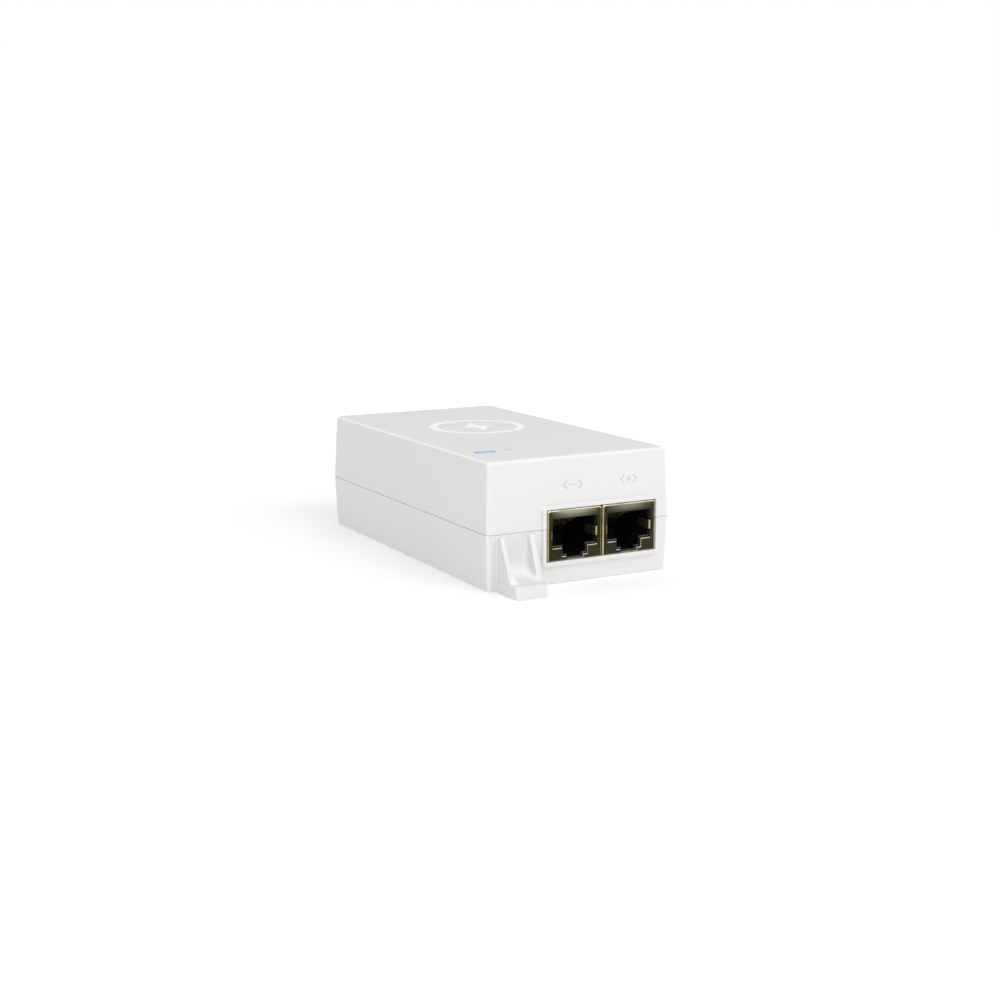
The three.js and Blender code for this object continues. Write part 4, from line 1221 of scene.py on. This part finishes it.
def legs(name, spots, material=None):
    """Formed leads: each spot is a list of path points, a width direction, a width and a thickness."""
    settle(join(name, [sweep("leg", smooth_path(p, r=0.25), d, w, t) for p, d, w, t in spots]), material or TIN, sharp=40)


def gull(x, y, dx, dy, reach, high, w, t=0.2):
    return ([(x - dx * 0.2, y - dy * 0.2, ON_BOARD + high), (x + dx * reach * 0.35, y + dy * reach * 0.35, ON_BOARD + high), (x + dx * reach * 0.5, y + dy * reach * 0.5, ON_BOARD + 0.12), (x + dx * reach, y + dy * reach, ON_BOARD + 0.12)], (abs(dy), abs(dx), 0), w, t)


legs("pwm_controller_leads", [gull(15.4 if side < 0 else 19.2, -15.1 + 1.27 * k, side, 0, 1.0, 0.8, 0.42) for side in (-1, 1) for k in range(4)])
legs("optocoupler_leads", [([(x, y - s * 0.2, ON_BOARD + 1.8), (x, y + s * 0.42, ON_BOARD + 1.8), (x, y + s * 0.46, ON_BOARD - 0.3)], (1, 0, 0), 0.8, 0.25) for x in (-2.97, -0.43) for y, s in ((-16.4, -1), (-13.2, 1))])
legs("lan_magnetics_leads", [gull(-7.7 + 1.03 * k * 15 / 14, y, 0, s, 0.75, 1.4, 0.45) for k in range(15) for y, s in ((-28.8, -1), (-18.2, 1))])
legs("switching_transistor_leads", [([(17.0, y, ON_BOARD + 4.8), (17.0, y, ON_BOARD - 0.3)], (0, 1, 0), 0.85, 0.5) for y in (-1.24, 1.3, 3.84)])
legs("output_rectifier_leads", [([(11.7, y, ON_BOARD + 3.7), (11.7, y, ON_BOARD - 0.3)], (0, 1, 0), 0.85, 0.5) for y in (-27.04, -24.5, -21.96)])


def bobbin():
    """Flanges, pin rails and pins of the transformer's coil former."""
    tx, ty, b = 5.0, -3.2, ON_BOARD
    parts = []
    for z0, z1 in ((4.83, 5.07), (16.93, 17.17)):
        plate = prism("plate", rrect(tx - 6.05, tx + 6.05, ty - 9.3, ty + 9.3, 0.8, 5), "z", b + z0, b + z1)
        boolean(plate, cuboid("hole", tx - 2.45, tx + 2.45, ty - 3.75, ty + 3.75, b, b + 20))
        parts.append(plate)
    for s in (-1, 1):
        y0, y1 = sorted((ty + s * 7.6, ty + s * 9.3))
        parts.append(prism("rail", rrect(tx - 6.05, tx + 6.05, y0, y1, 0.4, 4), "z", b + 2.6, b + 4.86))
    settle(join("transformer_coil_former", parts), EPOXY, sharp=35)
    pins = [tube("pin", tx - 5.0 + 2.5 * i, ty + s * 8.5, 0.33, b - 0.3, b + 2.75, 16) for i in range(5) for s in (-1, 1)]
    settle(join("transformer_pins", pins), TIN, sharp=40)


bobbin()

# ------------------------------------------------------------------ floor, light and camera


def build_stage():
    n = 128
    verts, faces = [(0, 0, 0)], []
    rings = (0.3, 0.9, 2.2, 6.0)
    for r in rings:
        verts += [(r * math.cos(2 * math.pi * i / n), r * math.sin(2 * math.pi * i / n), 0) for i in range(n)]
    for i in range(n):
        faces.append((0, 1 + i, 1 + (i + 1) % n))
        for k in range(len(rings) - 1):
            a, b = 1 + k * n, 1 + (k + 1) * n
            faces.append((a + i, b + i, b + (i + 1) % n, a + (i + 1) % n))
    me = bpy.data.meshes.new("floor")
    me.from_pydata(verts, [], faces)
    floor = bpy.data.objects.new("floor", me)
    floor.location = (0, 0, -0.0001)
    scene.collection.objects.link(floor)
    k = Nodes("floor_white")
    k.set(Base_Color=k.ramp(k.noise(3.0), [(0.3, (0.80, 0.80, 0.80)), (0.7, (0.81, 0.81, 0.81))]), Roughness=0.9)
    r = k.math("SQRT", k.math("ADD", k.math("MULTIPLY", k.axis("X"), k.axis("X")), k.math("MULTIPLY", k.axis("Y"), k.axis("Y"))))
    k.set(Specular_IOR_Level=0.0, Emission_Color=(1, 1, 1), Emission_Strength=k.span(r, FLOOR_LIFT, FLOOR_FAR, 0.075, 0.30))
    floor.data.materials.append(k.m)


FLOOR_LIFT = 0.25
FLOOR_FAR = 0.42
WORLD_LIGHT = 0.55
BACKDROP = 1.0
KEY, OVERHEAD, FILL = 2.25, 0.15, 0.26
build_stage()

world = bpy.data.worlds.new("soft studio")
scene.world = world
world.use_nodes = True
wt = world.node_tree
wt.nodes.clear()
w_out = wt.nodes.new("ShaderNodeOutputWorld")
w_bg = wt.nodes.new("ShaderNodeBackground")
w_bg.inputs["Strength"].default_value = WORLD_LIGHT
w_dir = wt.nodes.new("ShaderNodeSeparateXYZ")
w_tc = wt.nodes.new("ShaderNodeTexCoord")
wt.links.new(w_tc.outputs["Generated"], w_dir.inputs["Vector"])


def world_share(axis, a, b):
    r = wt.nodes.new("ShaderNodeMapRange")
    r.inputs["From Min"].default_value, r.inputs["From Max"].default_value = a, b
    wt.links.new(w_dir.outputs[axis], r.inputs["Value"])
    return r.outputs["Result"]


def world_mix(fac, a, b):
    n = wt.nodes.new("ShaderNodeMix")
    n.data_type = "RGBA"
    ins = [q for q in n.inputs if q.enabled]
    for q, v in zip(ins, (fac, a, b)):
        if isinstance(v, tuple):
            q.default_value = (*v, 1.0)
        else:
            wt.links.new(v, q)
    return [q for q in n.outputs if q.enabled][0]


# the room is a little warmer on the left and a little cooler overhead
w_side = world_mix(world_share("X", 0.2, -0.9), (1.0, 1.0, 0.995), (0.985, 0.985, 0.87))
w_all = world_mix(world_share("Z", 0.35, 0.95), w_side, (1.90, 1.86, 1.97))
# part way up on the left the room is dimmer, which gives the left wall its tone
w_low = wt.nodes.new("ShaderNodeMath")
w_low.operation = "MULTIPLY"
wt.links.new(world_share("X", 0.15, -0.6), w_low.inputs[0])
wt.links.new(world_share("Z", 0.8, 0.3), w_low.inputs[1])
w_all = world_mix(w_low.outputs["Value"], w_all, (0.02, 0.02, 0.01))
wt.links.new(w_all, w_bg.inputs["Color"])
# the backdrop that closes the floor off at the horizon
w_band = wt.nodes.new("ShaderNodeBackground")
w_pale = world_mix(world_share("X", -0.25, -0.85), (1.0, 1.0, 1.0), (0.88, 0.88, 0.83))
wt.links.new(world_mix(world_share("Z", 0.13, 0.34), w_pale, (0.70, 0.70, 0.68)), w_band.inputs["Color"])
w_band.inputs["Strength"].default_value = BACKDROP
w_blend = wt.nodes.new("ShaderNodeMixShader")
wt.links.new(world_share("Z", 0.42, 0.28), w_blend.inputs[0])
wt.links.new(w_bg.outputs["Background"], w_blend.inputs[1])
wt.links.new(w_band.outputs["Background"], w_blend.inputs[2])
wt.links.new(w_blend.outputs["Shader"], w_out.inputs["Surface"])


def softbox(name, at, aim, size, power, color=(1, 1, 1)):
    data = bpy.data.lights.new(name, "AREA")
    data.shape = "RECTANGLE"
    data.size, data.size_y = size
    data.energy = power
    data.color = color
    o = bpy.data.objects.new(name, data)
    o.location = at
    d = Vector(aim) - Vector(at)
    o.rotation_euler = d.to_track_quat("-Z", "Y").to_euler()
    scene.collection.objects.link(o)
    return o


softbox("key", (0.22, -0.75, 0.80), (0, 0, 0.01), (0.6, 0.45), KEY)
softbox("overhead", (-0.42, -0.38, 0.46), (0, 0, 0.01), (0.35, 0.3), OVERHEAD, (1.0, 1.0, 0.80))
softbox("fill", (-0.25, -0.52, 0.26), (-0.01, -0.04, 0.01), (0.22, 0.22), FILL, (1.0, 1.0, 0.90))

cam_data = bpy.data.cameras.new("camera")
cam_data.lens = 54.38
cam_data.sensor_width = 36.0
cam_data.clip_start = 0.01
cam_data.clip_end = 50.0
cam_data.dof.use_dof = False
camera = bpy.data.objects.new("camera", cam_data)
camera.location = (-0.194265, -0.360825, 0.091662)
camera.rotation_euler = (math.radians(79.061), 0.0, math.radians(-28.686))
scene.collection.objects.link(camera)
scene.camera = camera
scene.view_settings.view_transform = "Standard"
scene.view_settings.look = "None"

bpy.context.view_layer.update()
